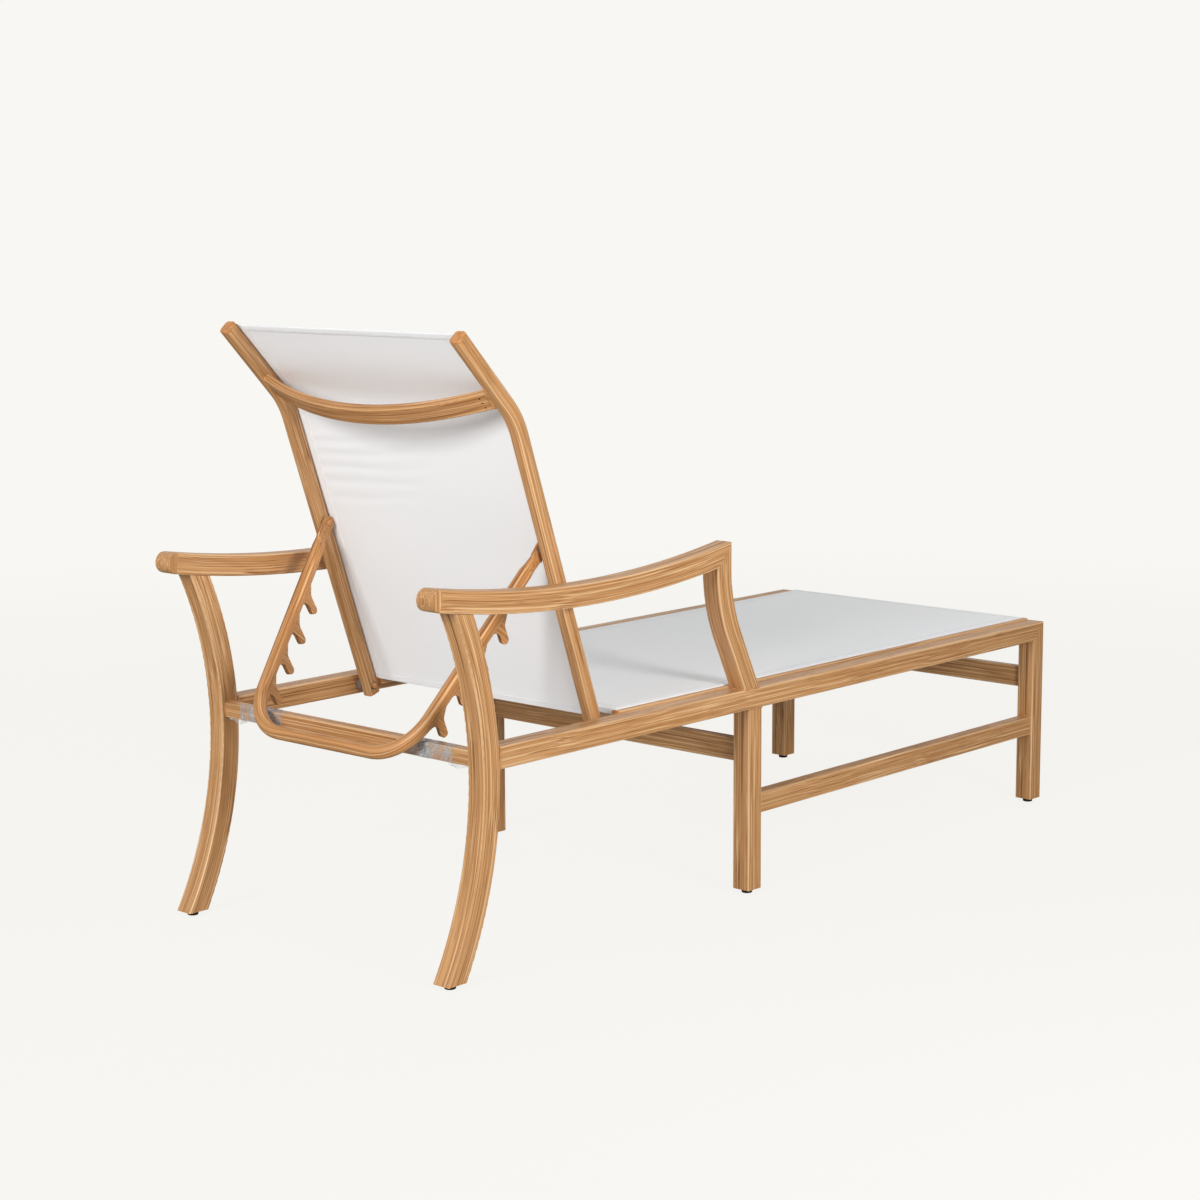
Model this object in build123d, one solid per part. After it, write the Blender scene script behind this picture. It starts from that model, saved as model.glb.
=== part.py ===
from build123d import *
import os
from math import cos, radians, sin

# Sling chaise longue: a welded aluminium tube frame with a wood-grain finish, a taut seat sling,
# and a sling back that hinges on the side rails and stands on a hooked U-shaped prop.
# Millimetres. +X points to the foot end, +Y to the sitter's left, +Z up.
# The origin is on the floor below the middle of the chaise at rest.

# Overall sizes
overall_length = 1885.0
overall_width = 734.0
side_rail_top = 408.0

# Square frame tube
tube_size = 40.0
tube_wall = 1.8
tube_edge = 3.0
least_bore_edge = 0.5
hole_overrun = 1.0

# Straight legs, stretchers and cross rails
leg_spacing = 1006.0
stretcher_height = 40.0
stretcher_width = 30.0
stretcher_middle = 177.0
cross_rail_height = 45.0
cross_rail_depth = 22.0
cross_rail_middle = 283.0
flat_tube_wall = 1.6
flat_tube_edge = 2.5

# Foot glides
glide_height = 9.0
glide_diameter = 21.0
glide_rim = 2.0
plug_depth = 14.0
plug_clearance = 0.15

# Sabre-shaped rear legs, places along X counted from the tip of the arm nose
rear_foot_place = 46.5
rear_waist_place = 135.5
rear_waist_height = 357.0
rear_top_place = 63.5

# Armrests and their curved front posts
arm_rear_height = 677.0
arm_low_share = 0.506
arm_low_height = 646.0
arm_front_height = 675.5
post_top_setback = 94.0
post_bend_height = 581.0
post_bend_radius = 300.0
post_foot_setback = 10.0
nose_spigot = 18.0
nose_spigot_edge = 1.0

# Rear cross rail that the prop hooks stand on, with its clear sleeves
rear_rail_depth = 25.0
rear_rail_height = 28.0
rear_rail_drop = 1.0
sleeve_wall = 0.5
sleeve_end_inset = 44.0
sleeve_length = 118.0
sleeve_clearance = 0.05

# Seat sling and the grooved rails that hold it
sling_rail_width = 18.0
sling_rail_height = 30.0
sling_rail_proud = 3.5
sling_rail_rear_place = 509.0
sling_rail_front_gap = 5.5
sling_rail_edge = 4.0
sling_rail_wall = 2.0
groove_diameter = 7.4
groove_depth = 6.2
groove_slot = 2.6
seat_groove_inset = 6.0
spline_diameter = 6.4
sling_thickness = 1.6
sling_lift = 0.2
hem_drop = 10.0
hem_inset = 4.0
end_plug_cap = 2.0
end_plug_depth = 12.0
screw_count = 5
screw_shank = 4.5
screw_head = 9.0
screw_head_height = 2.6
screw_end_margin = 90.0
screw_grip = 8.0
screw_height = 9.0

# Back: hinge place, tilt of the long part and of the head part
hinge_place = 468.0
back_tilt = 19.1
head_tilt = 43.5
back_length = 608.0
head_length = 197.0
back_bend_radius = 150.0
back_foot = 14.0
back_rail_width = 25.0
back_rail_depth = 28.0
back_rail_edge = 7.0
back_rail_wall = 2.0
back_cavity_edge = 3.0
back_side_room = 14.0
back_cap = 5.0
back_cap_edge = 2.0
back_sling_start = 12.0
back_sling_margin = 4.0
back_sling_lift = 0.3

# Hinge hardware
hinge_bolt_diameter = 10.0
hinge_running_clearance = 0.05
hinge_bush_diameter = 24.0
hinge_side_gap = 0.3
hinge_washer_diameter = 16.0
hinge_washer_thickness = 1.5
hinge_head_diameter = 11.0
hinge_head_height = 4.0
insert_flange_diameter = 17.0
insert_flange = 1.2
insert_depth = 16.0
insert_diameter = 14.0

# Bowed bar across the head part
crossbar_height = 40.0
crossbar_depth = 16.0
crossbar_edge = 4.0
crossbar_bow = 62.0
crossbar_place = 57.0
crossbar_setback = 2.0
crossbar_hole = 4.5
crossbar_hole_pitch = 11.0
crossbar_hole_margin = 13.0

# Prop: a U-shaped round tube hung on the back rails, with four hooks on each arm
prop_place = 356.0
prop_tilt = 38.2
prop_tube_diameter = 25.4
prop_tube_wall = 1.8
prop_length = 441.0
prop_top_inset = 14.0
prop_taper = 67.0
prop_corner_radius = 100.0
tongue_thickness = 6.0
tongue_width = 26.0
tongue_end = 22.0
tongue_blend = 30.0
tongue_edge = 2.9
pivot_washer = 3.0
pivot_washer_diameter = 22.0
pivot_diameter = 8.0
pivot_head_diameter = 12.0
pivot_head_height = 3.5
pivot_clearance = 0.05
hook_count = 4
hook_first = 167.5
hook_pitch = 65.2
hook_thickness = 9.0
hook_reach = 44.0
hook_finger = 15.5
hook_lean = 27.0
hook_notch = 22.0
hook_root = 42.0
hook_root_share = 0.9
hook_seat_gap = 0.1

# Places that follow from the sizes above
half_width = overall_width / 2
rear_end = -overall_length / 2
front_end = overall_length / 2
tube_half = tube_size / 2
side_middle = half_width - tube_half
side_inner = half_width - tube_size
side_rail_middle = side_rail_top - tube_half
side_rail_bottom = side_rail_top - tube_size
front_leg_x = front_end - tube_half
mid_leg_x = front_leg_x - leg_spacing
rear_waist_x = rear_end + rear_waist_place
post_x = mid_leg_x - post_top_setback
hinge_x = rear_end + hinge_place
hinge_z = side_rail_middle
sling_rail_top = side_rail_top + sling_rail_proud
sling_rail_rear = rear_end + sling_rail_rear_place
sling_rail_front = front_end - sling_rail_front_gap
sling_bottom = sling_rail_top + sling_lift
screw_z = sling_rail_top - sling_rail_height + screw_height
back_rail_outer = side_inner - back_side_room
back_rail_inner = back_rail_outer - back_rail_width
back_rail_middle = back_rail_inner + back_rail_width / 2
prop_top_half_width = back_rail_inner - prop_top_inset
prop_foot_half_width = prop_top_half_width - prop_taper
rear_rail_middle = side_rail_middle - rear_rail_drop

sides = {"left": 1, "right": -1}


def point(x, z, y=0):
    return Vector(x, y, z)


def tilted(angle):
    # Unit vector in the side view, leaning back from the vertical by an angle in degrees.
    return Vector(-sin(radians(angle)), 0, cos(radians(angle)))


def section_plane(path):
    return Plane(origin=path @ 0, x_dir=(0, 1, 0), z_dir=path % 0)


def rounded_tube(path, width, height, wall, edge):
    # Hollow tube whose section spans `width` along Y and `height` across the path.
    outer = RectangleRounded(width, height, edge)
    bore = RectangleRounded(width - 2 * wall, height - 2 * wall, max(edge - wall, least_bore_edge))
    return sweep(section_plane(path) * (outer - bore), path=path)


def plain_sweep(path, width, height, edge=0.0):
    outline = RectangleRounded(width, height, edge) if edge else Rectangle(width, height)
    return sweep(section_plane(path) * outline, path=path)


def straight_tube(start, end, width, height, wall, edge, across=(0, 1, 0)):
    # Hollow straight tube; `across` is the direction of its width.
    run = end - start
    plane = Plane(origin=start, x_dir=across, z_dir=run.normalized())
    outer = RectangleRounded(width, height, edge)
    bore = RectangleRounded(width - 2 * wall, height - 2 * wall, max(edge - wall, least_bore_edge))
    return extrude(plane * (outer - bore), amount=run.length)


def block(low, high):
    size = high - low
    return Pos(*((low + high) / 2)) * Box(size.X, size.Y, size.Z)


def rod(start, direction, length, diameter):
    plane = Plane(origin=start, z_dir=direction)
    return extrude(plane * Circle(diameter / 2), amount=length)


def on_side(shape, side):
    # Shapes are made for the left side at its own place; the right one is its mirror image.
    return shape if side > 0 else mirror(shape, about=Plane.XZ)


def save(name, *solids):
    shape = solids[0] if len(solids) == 1 else Compound(children=list(solids))
    export_step(shape, f"parts/{name}.step")


def save_pair(name, shape):
    for side_name, side in sides.items():
        save(f"{name}_{side_name}", on_side(shape, side))


# Armrest line: one long sagging arc, with a straight end that the mitre trims
arm_start = point(rear_end + tube_half, arm_rear_height, side_middle)
arm_corner = point(post_x, arm_front_height, side_middle)
arm_low_x = arm_start.X + (arm_corner.X - arm_start.X) * arm_low_share
arm_low = point(arm_low_x, arm_low_height, side_middle)
arm_arc = ThreePointArc(arm_start, arm_low, arm_corner)
arm_path = Wire([arm_arc.edge(), Line(arm_arc @ 1, arm_arc @ 1 + (arm_arc % 1) * tube_size).edge()])
arm_envelope = plain_sweep(arm_path, tube_size, tube_size)
arm_mitre = Plane(origin=arm_corner, z_dir=(arm_arc % 1) + Vector(0, 0, -1))


def build_armrest():
    tube = rounded_tube(arm_path, tube_size, tube_size, tube_wall, tube_edge)
    return split(tube, bisect_by=arm_mitre, keep=Keep.BOTTOM)


def build_arm_nose():
    # Half-round end piece that closes the arm, with a spigot inside the tube.
    plane = Plane(origin=arm_start, x_dir=(0, 1, 0), z_dir=(arm_arc % 0) * -1)
    nose = extrude(plane * RectangleRounded(tube_size, tube_size, tube_edge), amount=tube_half)
    round_end = rod(arm_start + Vector(0, -tube_half, 0), (0, 1, 0), tube_size, tube_size)
    spigot_size = tube_size - 2 * tube_wall - 2 * plug_clearance
    spigot = extrude(plane * Rectangle(spigot_size, spigot_size), amount=-nose_spigot)
    spigot = fillet(spigot.edges().filter_by(Axis(arm_start, arm_arc % 0)), nose_spigot_edge)
    return (nose & round_end) + spigot


def build_arm_post():
    slope = (mid_leg_x - post_foot_setback - post_x) / (post_bend_height - side_rail_top)
    path = FilletPolyline(
        point(post_x, arm_front_height + tube_size, side_middle),
        point(post_x, post_bend_height, side_middle),
        point(post_x + slope * (post_bend_height - side_rail_middle), side_rail_middle, side_middle),
        radius=post_bend_radius,
    )
    tube = rounded_tube(path.wire(), tube_size, tube_size, tube_wall, tube_edge)
    tube = split(tube, bisect_by=arm_mitre, keep=Keep.TOP)
    return split(tube, bisect_by=Plane.XY.offset(side_rail_top), keep=Keep.TOP)


# Rear leg line: a sabre arc from the floor to the arm, waist forward
rear_foot = point(rear_end + rear_foot_place, glide_height, side_middle)
rear_waist = point(rear_waist_x, rear_waist_height, side_middle)
rear_top_x = rear_end + rear_top_place
arm_above_leg = arm_arc @ ((rear_top_x - arm_start.X) / (arm_corner.X - arm_start.X))
rear_arc = ThreePointArc(rear_foot, rear_waist, point(rear_top_x, arm_above_leg.Z, side_middle))
rear_lead = Line(rear_arc @ 0 - (rear_arc % 0) * tube_half, rear_arc @ 0)
rear_path = Wire([rear_lead.edge(), rear_arc.edge()])
rear_envelope = plain_sweep(rear_path, tube_size, tube_size)
leg_bottom = Plane.XY.offset(glide_height)


def build_rear_leg():
    tube = rounded_tube(rear_path, tube_size, tube_size, tube_wall, tube_edge)
    tube = split(tube, bisect_by=leg_bottom, keep=Keep.TOP)
    return (tube - arm_envelope).solids().sort_by(SortBy.VOLUME)[-1]


rail_corner = point(front_leg_x, side_rail_middle, side_middle)
rail_mitre = Plane(origin=rail_corner, z_dir=(1, 0, -1))


def screw_places():
    run = sling_rail_front - sling_rail_rear - 2 * screw_end_margin
    step = run / (screw_count - 1)
    return [sling_rail_rear + screw_end_margin + step * place for place in range(screw_count)]


def screw_hole(x):
    start = point(x, screw_z, side_inner - sling_rail_width)
    return rod(start, (0, 1, 0), sling_rail_width + screw_grip, screw_shank)


def build_side_rail():
    start = point(rear_waist_x, side_rail_middle, side_middle)
    end = rail_corner + Vector(tube_size, 0, 0)
    tube = straight_tube(start, end, tube_size, tube_size, tube_wall, tube_edge)
    tube = split(tube, bisect_by=rail_mitre, keep=Keep.BOTTOM)
    tube = (tube - rear_envelope).solids().sort_by(SortBy.VOLUME)[-1]
    for x in screw_places():
        tube -= screw_hole(x)
    insert_start = point(hinge_x, hinge_z, side_inner - hole_overrun)
    insert_hole = rod(insert_start, (0, 1, 0), tube_half, insert_diameter)
    return tube - insert_hole


def build_front_leg():
    top = rail_corner + Vector(0, 0, tube_size)
    tube = straight_tube(point(front_leg_x, glide_height, side_middle), top, tube_size, tube_size,
                         tube_wall, tube_edge)
    return split(tube, bisect_by=rail_mitre, keep=Keep.TOP)


def build_mid_leg():
    foot = point(mid_leg_x, glide_height, side_middle)
    return straight_tube(foot, point(mid_leg_x, side_rail_bottom, side_middle), tube_size, tube_size,
                         tube_wall, tube_edge)


def build_lower_stretcher():
    start = point(mid_leg_x + tube_half, stretcher_middle, side_middle)
    end = point(front_leg_x - tube_half, stretcher_middle, side_middle)
    return straight_tube(start, end, stretcher_width, stretcher_height, flat_tube_wall, flat_tube_edge)


def build_cross_rail(x, middle=cross_rail_middle, depth=cross_rail_depth, height=cross_rail_height):
    start = point(x, middle, -side_inner)
    end = point(x, middle, side_inner)
    return straight_tube(start, end, depth, height, flat_tube_wall, flat_tube_edge, across=(1, 0, 0))


def rear_leg_x_at(height):
    # Centre of the rear leg at a height, from the circle of its arc.
    centre = rear_arc.arc_center
    reach = (rear_arc.radius ** 2 - (height - centre.Z) ** 2) ** 0.5
    return centre.X + reach


rear_rail_x = rear_leg_x_at(rear_rail_middle)


def build_rail_sleeve():
    inner_depth = rear_rail_depth + 2 * sleeve_clearance
    inner_height = rear_rail_height + 2 * sleeve_clearance
    end = point(rear_rail_x, rear_rail_middle, side_inner - sleeve_end_inset)
    start = end - Vector(0, sleeve_length, 0)
    return straight_tube(start, end, inner_depth + 2 * sleeve_wall, inner_height + 2 * sleeve_wall,
                         sleeve_wall, flat_tube_edge + sleeve_wall, across=(1, 0, 0))


def glide(x, bore):
    # Round black foot whose square stem fills the end of the leg tube.
    level = glide_height
    slab = block(Vector(x - tube_size, 0, level), Vector(x + tube_size, overall_width, level + plug_depth))
    foot = Pos(x, side_middle, level / 2) * Cylinder(glide_diameter / 2, level)
    foot = fillet(foot.edges().group_by(Axis.Z)[0], glide_rim)
    return (bore & slab) + foot


def build_foot_glides():
    size = tube_size - 2 * tube_wall - 2 * plug_clearance
    edge = tube_edge - tube_wall
    glides = []
    for x in (front_leg_x, mid_leg_x):
        foot = point(x, 0, side_middle)
        upright = Wire([Line(foot, foot + Vector(0, 0, tube_size)).edge()])
        glides.append(glide(x, plain_sweep(upright, size, size, edge)))
    glides.append(glide(rear_foot.X, plain_sweep(rear_path, size, size, edge)))
    return [on_side(shape, side) for shape in glides for side in sides.values()]


def groove_profile(depth, slot, diameter, end):
    # Keyhole that opens at local y = end: a round channel with a narrow mouth.
    channel = Pos(0, end - depth) * Circle(diameter / 2)
    mouth = Pos(0, end - depth / 2) * Rectangle(slot, depth)
    return channel + mouth


groove_y = side_inner - sling_rail_width + seat_groove_inset
seat_length = sling_rail_front - sling_rail_rear


def seat_section_plane(x):
    # Local x runs along +Y and local y along +Z.
    return Plane(origin=(x, 0, 0), x_dir=(0, 1, 0), z_dir=(1, 0, 0))


def sling_rail_outline(shrink=0.0):
    middle_y = side_inner - sling_rail_width / 2
    middle_z = sling_rail_top - sling_rail_height / 2
    outline = RectangleRounded(sling_rail_width - 2 * shrink, sling_rail_height - 2 * shrink, sling_rail_edge)
    return Pos(middle_y, middle_z) * outline


def sling_rail_cavity(clearance=0.0):
    low = sling_rail_top - sling_rail_height + sling_rail_wall
    high = sling_rail_top - groove_depth - groove_diameter / 2 - sling_rail_wall
    width = sling_rail_width - 2 * sling_rail_wall - 2 * clearance
    middle_y = side_inner - sling_rail_width / 2
    return Pos(middle_y, (low + high) / 2) * Rectangle(width, high - low - 2 * clearance)


def build_seat_sling_rail():
    groove = Pos(groove_y, 0) * groove_profile(groove_depth, groove_slot, groove_diameter, sling_rail_top)
    section = sling_rail_outline() - groove - sling_rail_cavity()
    rail = extrude(seat_section_plane(sling_rail_rear) * section, amount=seat_length)
    for x in screw_places():
        rail -= screw_hole(x)
    return rail


def build_sling_rail_plugs():
    plugs = []
    for x, outward in ((sling_rail_rear, -1), (sling_rail_front, 1)):
        plane = seat_section_plane(x)
        cap = extrude(plane * sling_rail_outline(), amount=outward * end_plug_cap)
        stem = extrude(plane * sling_rail_cavity(plug_clearance), amount=-outward * end_plug_depth)
        plugs += [on_side(cap + stem, side) for side in sides.values()]
    return plugs


def build_sling_rail_screws():
    screws = []
    face = side_inner - sling_rail_width
    for x in screw_places():
        head = rod(point(x, screw_z, face - screw_head_height), (0, 1, 0), screw_head_height, screw_head)
        head = fillet(head.edges().group_by(Axis.Y)[0], screw_head_height / 2)
        shank = rod(point(x, screw_z, face), (0, 1, 0), sling_rail_width + screw_grip, screw_shank)
        screws += [on_side(head + shank, side) for side in sides.values()]
    return screws


def build_seat_splines():
    level = sling_rail_top - groove_depth
    bar = rod(point(sling_rail_rear, level, groove_y), (1, 0, 0), seat_length, spline_diameter)
    return [on_side(bar, side) for side in sides.values()]


def build_seat_sling():
    # Taut sheet over the two sling rails; its long edges dip into the grooves, its ends turn down in hems.
    start = sling_rail_rear + hem_inset
    end = sling_rail_front - hem_inset
    flange = groove_y + sling_thickness / 2
    sheet = block(Vector(start, -flange, sling_bottom), Vector(end, flange, sling_bottom + sling_thickness))
    edge_low = sling_rail_top - groove_depth + spline_diameter / 2 + sling_lift
    for side in sides.values():
        inner = side * (groove_y - sling_thickness / 2)
        outer = side * flange
        low = Vector(start, min(inner, outer), edge_low)
        sheet += block(low, Vector(end, max(inner, outer), sling_bottom))
    hem_half = side_inner - sling_rail_width - hem_inset
    for x in (start, end - sling_thickness):
        low = Vector(x, -hem_half, sling_bottom - hem_drop)
        sheet += block(low, Vector(x + sling_thickness, hem_half, sling_bottom))
    return sheet


# Back frame line, seen from the side: long part, bend, head part
hinge = point(hinge_x, hinge_z)
back_up = tilted(back_tilt)
back_front = tilted(back_tilt - 90)
head_up = tilted(head_tilt)
head_front = tilted(head_tilt - 90)
bend_point = hinge + back_up * back_length
head_end = bend_point + head_up * head_length


def back_line(start, end_margin=0.0, forward=0.0, y=0.0):
    # Line along the back, `start` up from the hinge and set `forward` of the rail centres.
    half_turn = radians(head_tilt - back_tilt) / 2
    corner = bend_point + (back_front + head_front).normalized() * (forward / cos(half_turn))
    low = hinge + back_up * start + back_front * forward
    high = head_end - head_up * end_margin + head_front * forward
    shift = Vector(0, y, 0)
    return FilletPolyline(low + shift, corner + shift, high + shift, radius=back_bend_radius + forward).wire()


def back_section(path):
    # Local x runs along +Y, local y towards the front of the back.
    return Plane(origin=path @ 0, x_dir=(0, 1, 0), z_dir=path % 0)


back_rail_path = back_line(-back_foot, y=back_rail_middle)
front_sign = 1 if back_section(back_rail_path).y_dir.dot(back_front) > 0 else -1


def back_rail_cavity(clearance=0.0):
    low = -back_rail_depth / 2 + back_rail_wall
    high = back_rail_depth / 2 - groove_depth - groove_diameter / 2 - back_rail_wall
    width = back_rail_width - 2 * back_rail_wall - 2 * clearance
    shape = RectangleRounded(width, high - low - 2 * clearance, back_cavity_edge)
    return Pos(0, front_sign * (low + high) / 2) * shape


def back_groove():
    groove = groove_profile(groove_depth, groove_slot, groove_diameter, back_rail_depth / 2)
    return groove if front_sign > 0 else mirror(groove, about=Plane.XZ)


back_rail_outline = RectangleRounded(back_rail_width, back_rail_depth, back_rail_edge)

pivot = hinge + back_up * prop_place


def cross_hole(centre, inner, outer, diameter):
    return rod(Vector(centre.X, inner, centre.Z), (0, 1, 0), outer - inner, diameter)


def build_back_rail():
    section = back_rail_outline - back_groove() - back_rail_cavity()
    rail = sweep(back_section(back_rail_path) * section, path=back_rail_path)
    bore = hinge_bolt_diameter + 2 * hinge_running_clearance
    low = back_rail_inner - hole_overrun
    high = back_rail_outer + hole_overrun
    rail -= cross_hole(hinge, low, high, bore)
    return rail - cross_hole(pivot, low, high, pivot_diameter)


def end_cap(origin, outward):
    plane = Plane(origin=origin, x_dir=(0, 1, 0), z_dir=outward)
    cap = extrude(plane * back_rail_outline, amount=back_cap)
    return fillet(cap.faces().sort_by(Axis(origin, outward))[-1].edges(), back_cap_edge)


def build_back_caps(origin, outward):
    cap = end_cap(origin, outward)
    return [on_side(cap, side) for side in sides.values()]


def build_back_splines():
    forward = back_rail_depth / 2 - groove_depth
    path = back_line(back_sling_start, forward=forward, y=back_rail_middle)
    bar = sweep(back_section(path) * Circle(spline_diameter / 2), path=path)
    return [on_side(bar, side) for side in sides.values()]


def build_back_sling():
    # Taut sheet over the fronts of the two back rails, its long edges turned into their grooves.
    forward = back_rail_depth / 2 + back_sling_lift + sling_thickness / 2
    path = back_line(back_sling_start, back_sling_margin, forward)
    flange = back_rail_middle + sling_thickness / 2
    sheet = sweep(back_section(path) * Rectangle(2 * flange, sling_thickness), path=path)
    edge_top = back_rail_depth / 2 + back_sling_lift + sling_thickness / 2
    edge_low = back_rail_depth / 2 - groove_depth + spline_diameter / 2 + sling_lift
    edge_depth = edge_top - edge_low
    edge_path = back_line(back_sling_start, back_sling_margin, (edge_top + edge_low) / 2)
    edge_section = back_section(edge_path)
    for side in sides.values():
        strip = Pos(side * back_rail_middle, 0) * Rectangle(sling_thickness, edge_depth)
        sheet += sweep(edge_section * strip, path=edge_path)
    return sheet


def build_head_crossbar():
    # Flat tube across the head part, bowed backwards, with three small holes near each end.
    middle = bend_point + head_up * crossbar_place - head_front * crossbar_setback
    half_span = back_rail_middle
    arc = ThreePointArc(
        middle - Vector(0, half_span, 0),
        middle - head_front * crossbar_bow,
        middle + Vector(0, half_span, 0),
    )
    path = Wire([arc.edge()])
    plane = Plane(origin=path @ 0, x_dir=head_up, z_dir=path % 0)
    outer = RectangleRounded(crossbar_height, crossbar_depth, crossbar_edge)
    bore = RectangleRounded(crossbar_height - 2 * flat_tube_wall, crossbar_depth - 2 * flat_tube_wall,
                            crossbar_edge - flat_tube_wall)
    bar = sweep(plane * (outer - bore), path=path)
    for side in sides.values():
        rail_face = Plane(origin=(0, side * back_rail_inner, 0), z_dir=(0, side, 0))
        bar = split(bar, bisect_by=rail_face, keep=Keep.BOTTOM)
    for side in sides.values():
        for row in (-1, 0, 1):
            start = middle + head_up * (row * crossbar_hole_pitch)
            start += Vector(0, side * (back_rail_inner - crossbar_hole_margin), 0)
            bar -= rod(start - head_front * crossbar_depth / 4, head_front * -1, crossbar_bow, crossbar_hole)
    return bar


bush_inner = back_rail_outer + hinge_side_gap
washer_outer = back_rail_inner - hinge_side_gap
washer_inner = washer_outer - hinge_washer_thickness


def build_hinge_bushes():
    ring = cross_hole(hinge, bush_inner, side_inner - insert_flange, hinge_bush_diameter)
    ring -= cross_hole(hinge, bush_inner, side_inner, hinge_bolt_diameter)
    return [on_side(ring, side) for side in sides.values()]


def build_hinge_inserts():
    flange = cross_hole(hinge, side_inner - insert_flange, side_inner, insert_flange_diameter)
    barrel = cross_hole(hinge, side_inner, side_inner + insert_depth, insert_diameter)
    insert = flange + barrel - cross_hole(hinge, side_inner - insert_flange, half_width, hinge_bolt_diameter)
    return [on_side(insert, side) for side in sides.values()]


def build_hinge_washers():
    ring = cross_hole(hinge, washer_inner, washer_outer, hinge_washer_diameter)
    ring -= cross_hole(hinge, washer_inner, washer_outer, hinge_bolt_diameter)
    return [on_side(ring, side) for side in sides.values()]


def build_hinge_bolts():
    shank = cross_hole(hinge, washer_inner, side_inner + insert_depth, hinge_bolt_diameter)
    head = cross_hole(hinge, washer_inner - hinge_head_height, washer_inner, hinge_head_diameter)
    head = fillet(head.edges().group_by(Axis.Y)[0], hinge_head_height / 2)
    return [on_side(shank + head, side) for side in sides.values()]


# Prop line: its own plane leans from the pivots down to the foot bar
prop_down = Vector(-sin(radians(prop_tilt)), 0, -cos(radians(prop_tilt)))
prop_out = Vector(cos(radians(prop_tilt)), 0, -sin(radians(prop_tilt)))
tongue_outer = back_rail_inner - pivot_washer
tongue_middle = tongue_outer - tongue_thickness / 2
prop_foot = pivot + prop_down * prop_length
blend_end = tongue_end + tongue_blend
arm_top = pivot + prop_down * blend_end + Vector(0, prop_top_half_width, 0)
arm_foot = prop_foot + Vector(0, prop_foot_half_width, 0)
arm_down = (arm_foot - arm_top).normalized()


def prop_arm_point(run):
    # Point on the axis of the left arm, `run` down the slope from the pivots.
    return arm_top + arm_down * ((run - blend_end) / arm_down.dot(prop_down))


def build_tongue():
    # Flattened end of the prop tube: a round-nosed plate that swells back into the tube.
    flat_plane = Plane(origin=pivot + prop_down * tongue_end + Vector(0, tongue_middle, 0),
                       x_dir=prop_out, z_dir=prop_down)
    tube_plane = Plane(origin=prop_arm_point(blend_end), x_dir=prop_out, z_dir=arm_down)
    flat_face = flat_plane * RectangleRounded(tongue_width, tongue_thickness, tongue_edge)
    swell = loft([flat_face.face(), (tube_plane * Circle(prop_tube_diameter / 2)).face()])
    eye = cross_hole(pivot, tongue_outer - tongue_thickness, tongue_outer, tongue_width)
    plate_plane = Plane(origin=pivot + Vector(0, tongue_middle, 0), x_dir=prop_down, z_dir=(0, 1, 0))
    plate = extrude(plate_plane * (Pos(tongue_end / 2) * Rectangle(tongue_end, tongue_width)),
                    amount=tongue_thickness / 2, both=True)
    bore = pivot_diameter + 2 * pivot_clearance
    return swell + eye + plate - cross_hole(pivot, 0, back_rail_inner, bore)


def bail_sweep(section):
    # A section carried down the left arm, round the foot and up the right arm.
    start = prop_arm_point(blend_end)
    mirrored_start = Vector(start.X, -start.Y, start.Z)
    mirrored_foot = Vector(arm_foot.X, -arm_foot.Y, arm_foot.Z)
    path = FilletPolyline(start, arm_foot, mirrored_foot, mirrored_start, radius=prop_corner_radius).wire()
    plane = Plane(origin=path @ 0, x_dir=prop_out, z_dir=path % 0)
    return sweep(plane * section, path=path)


def build_prop_bail():
    bail = bail_sweep(Circle(prop_tube_diameter / 2) - Circle(prop_tube_diameter / 2 - prop_tube_wall))
    tongue = build_tongue()
    return bail + tongue + mirror(tongue, about=Plane.XZ)


def hook_outline():
    # Local x runs down the arm, local y out from the arm's axis; the notch top lies near x = 0.
    lean = radians(hook_lean)
    along = Vector(sin(lean), cos(lean))
    across = Vector(cos(lean), -sin(lean))
    half = hook_finger / 2
    tip = Vector(0, hook_reach)
    notch_radius = hook_notch / 2
    tube_edge_y = prop_tube_diameter / 2
    notch_y = tube_edge_y + notch_radius
    inner_tip = tip + across * half
    gap = (inner_tip.Y - notch_y) / cos(lean)
    inner_at_notch = inner_tip - along * gap
    notch_centre = Vector(inner_at_notch.X + notch_radius / cos(lean), notch_y)
    outer_tip = tip - across * half
    shoulder = outer_tip - along * ((outer_tip.Y - notch_y) / cos(lean))
    deep = tube_edge_y / 2
    root_y = tube_edge_y * hook_root_share
    middle_turn = radians((180 - hook_lean + 270) / 2)
    notch_middle = notch_centre + Vector(cos(middle_turn), sin(middle_turn)) * notch_radius
    notch_end = notch_centre - Vector(0, notch_radius)
    lines = [
        Line((-hook_root, deep), (-hook_root, root_y)),
        Line((-hook_root, root_y), shoulder),
        Line(shoulder, outer_tip),
        ThreePointArc(outer_tip, tip + along * half, inner_tip),
        Line(inner_tip, notch_centre - across * notch_radius),
        ThreePointArc(notch_centre - across * notch_radius, notch_middle, notch_end),
        Line(notch_end, (notch_centre.X, deep)),
        Line((notch_centre.X, deep), (-hook_root, deep)),
    ]
    face = make_face(Curve() + lines)
    bend = face.vertices().sort_by_distance((shoulder.X, shoulder.Y, 0))[0]
    return fillet(bend, hook_finger)


def build_prop_hooks():
    outline = hook_outline()
    tube = bail_sweep(Circle(prop_tube_diameter / 2 + hook_seat_gap))
    hooks = []
    for place in range(hook_count):
        origin = prop_arm_point(hook_first + place * hook_pitch)
        plane = Plane(origin=origin, x_dir=arm_down, z_dir=arm_down.cross(prop_out))
        plate = extrude(plane * outline, amount=hook_thickness / 2, both=True)
        hooks.append(plate - tube)
    return hooks


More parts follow.
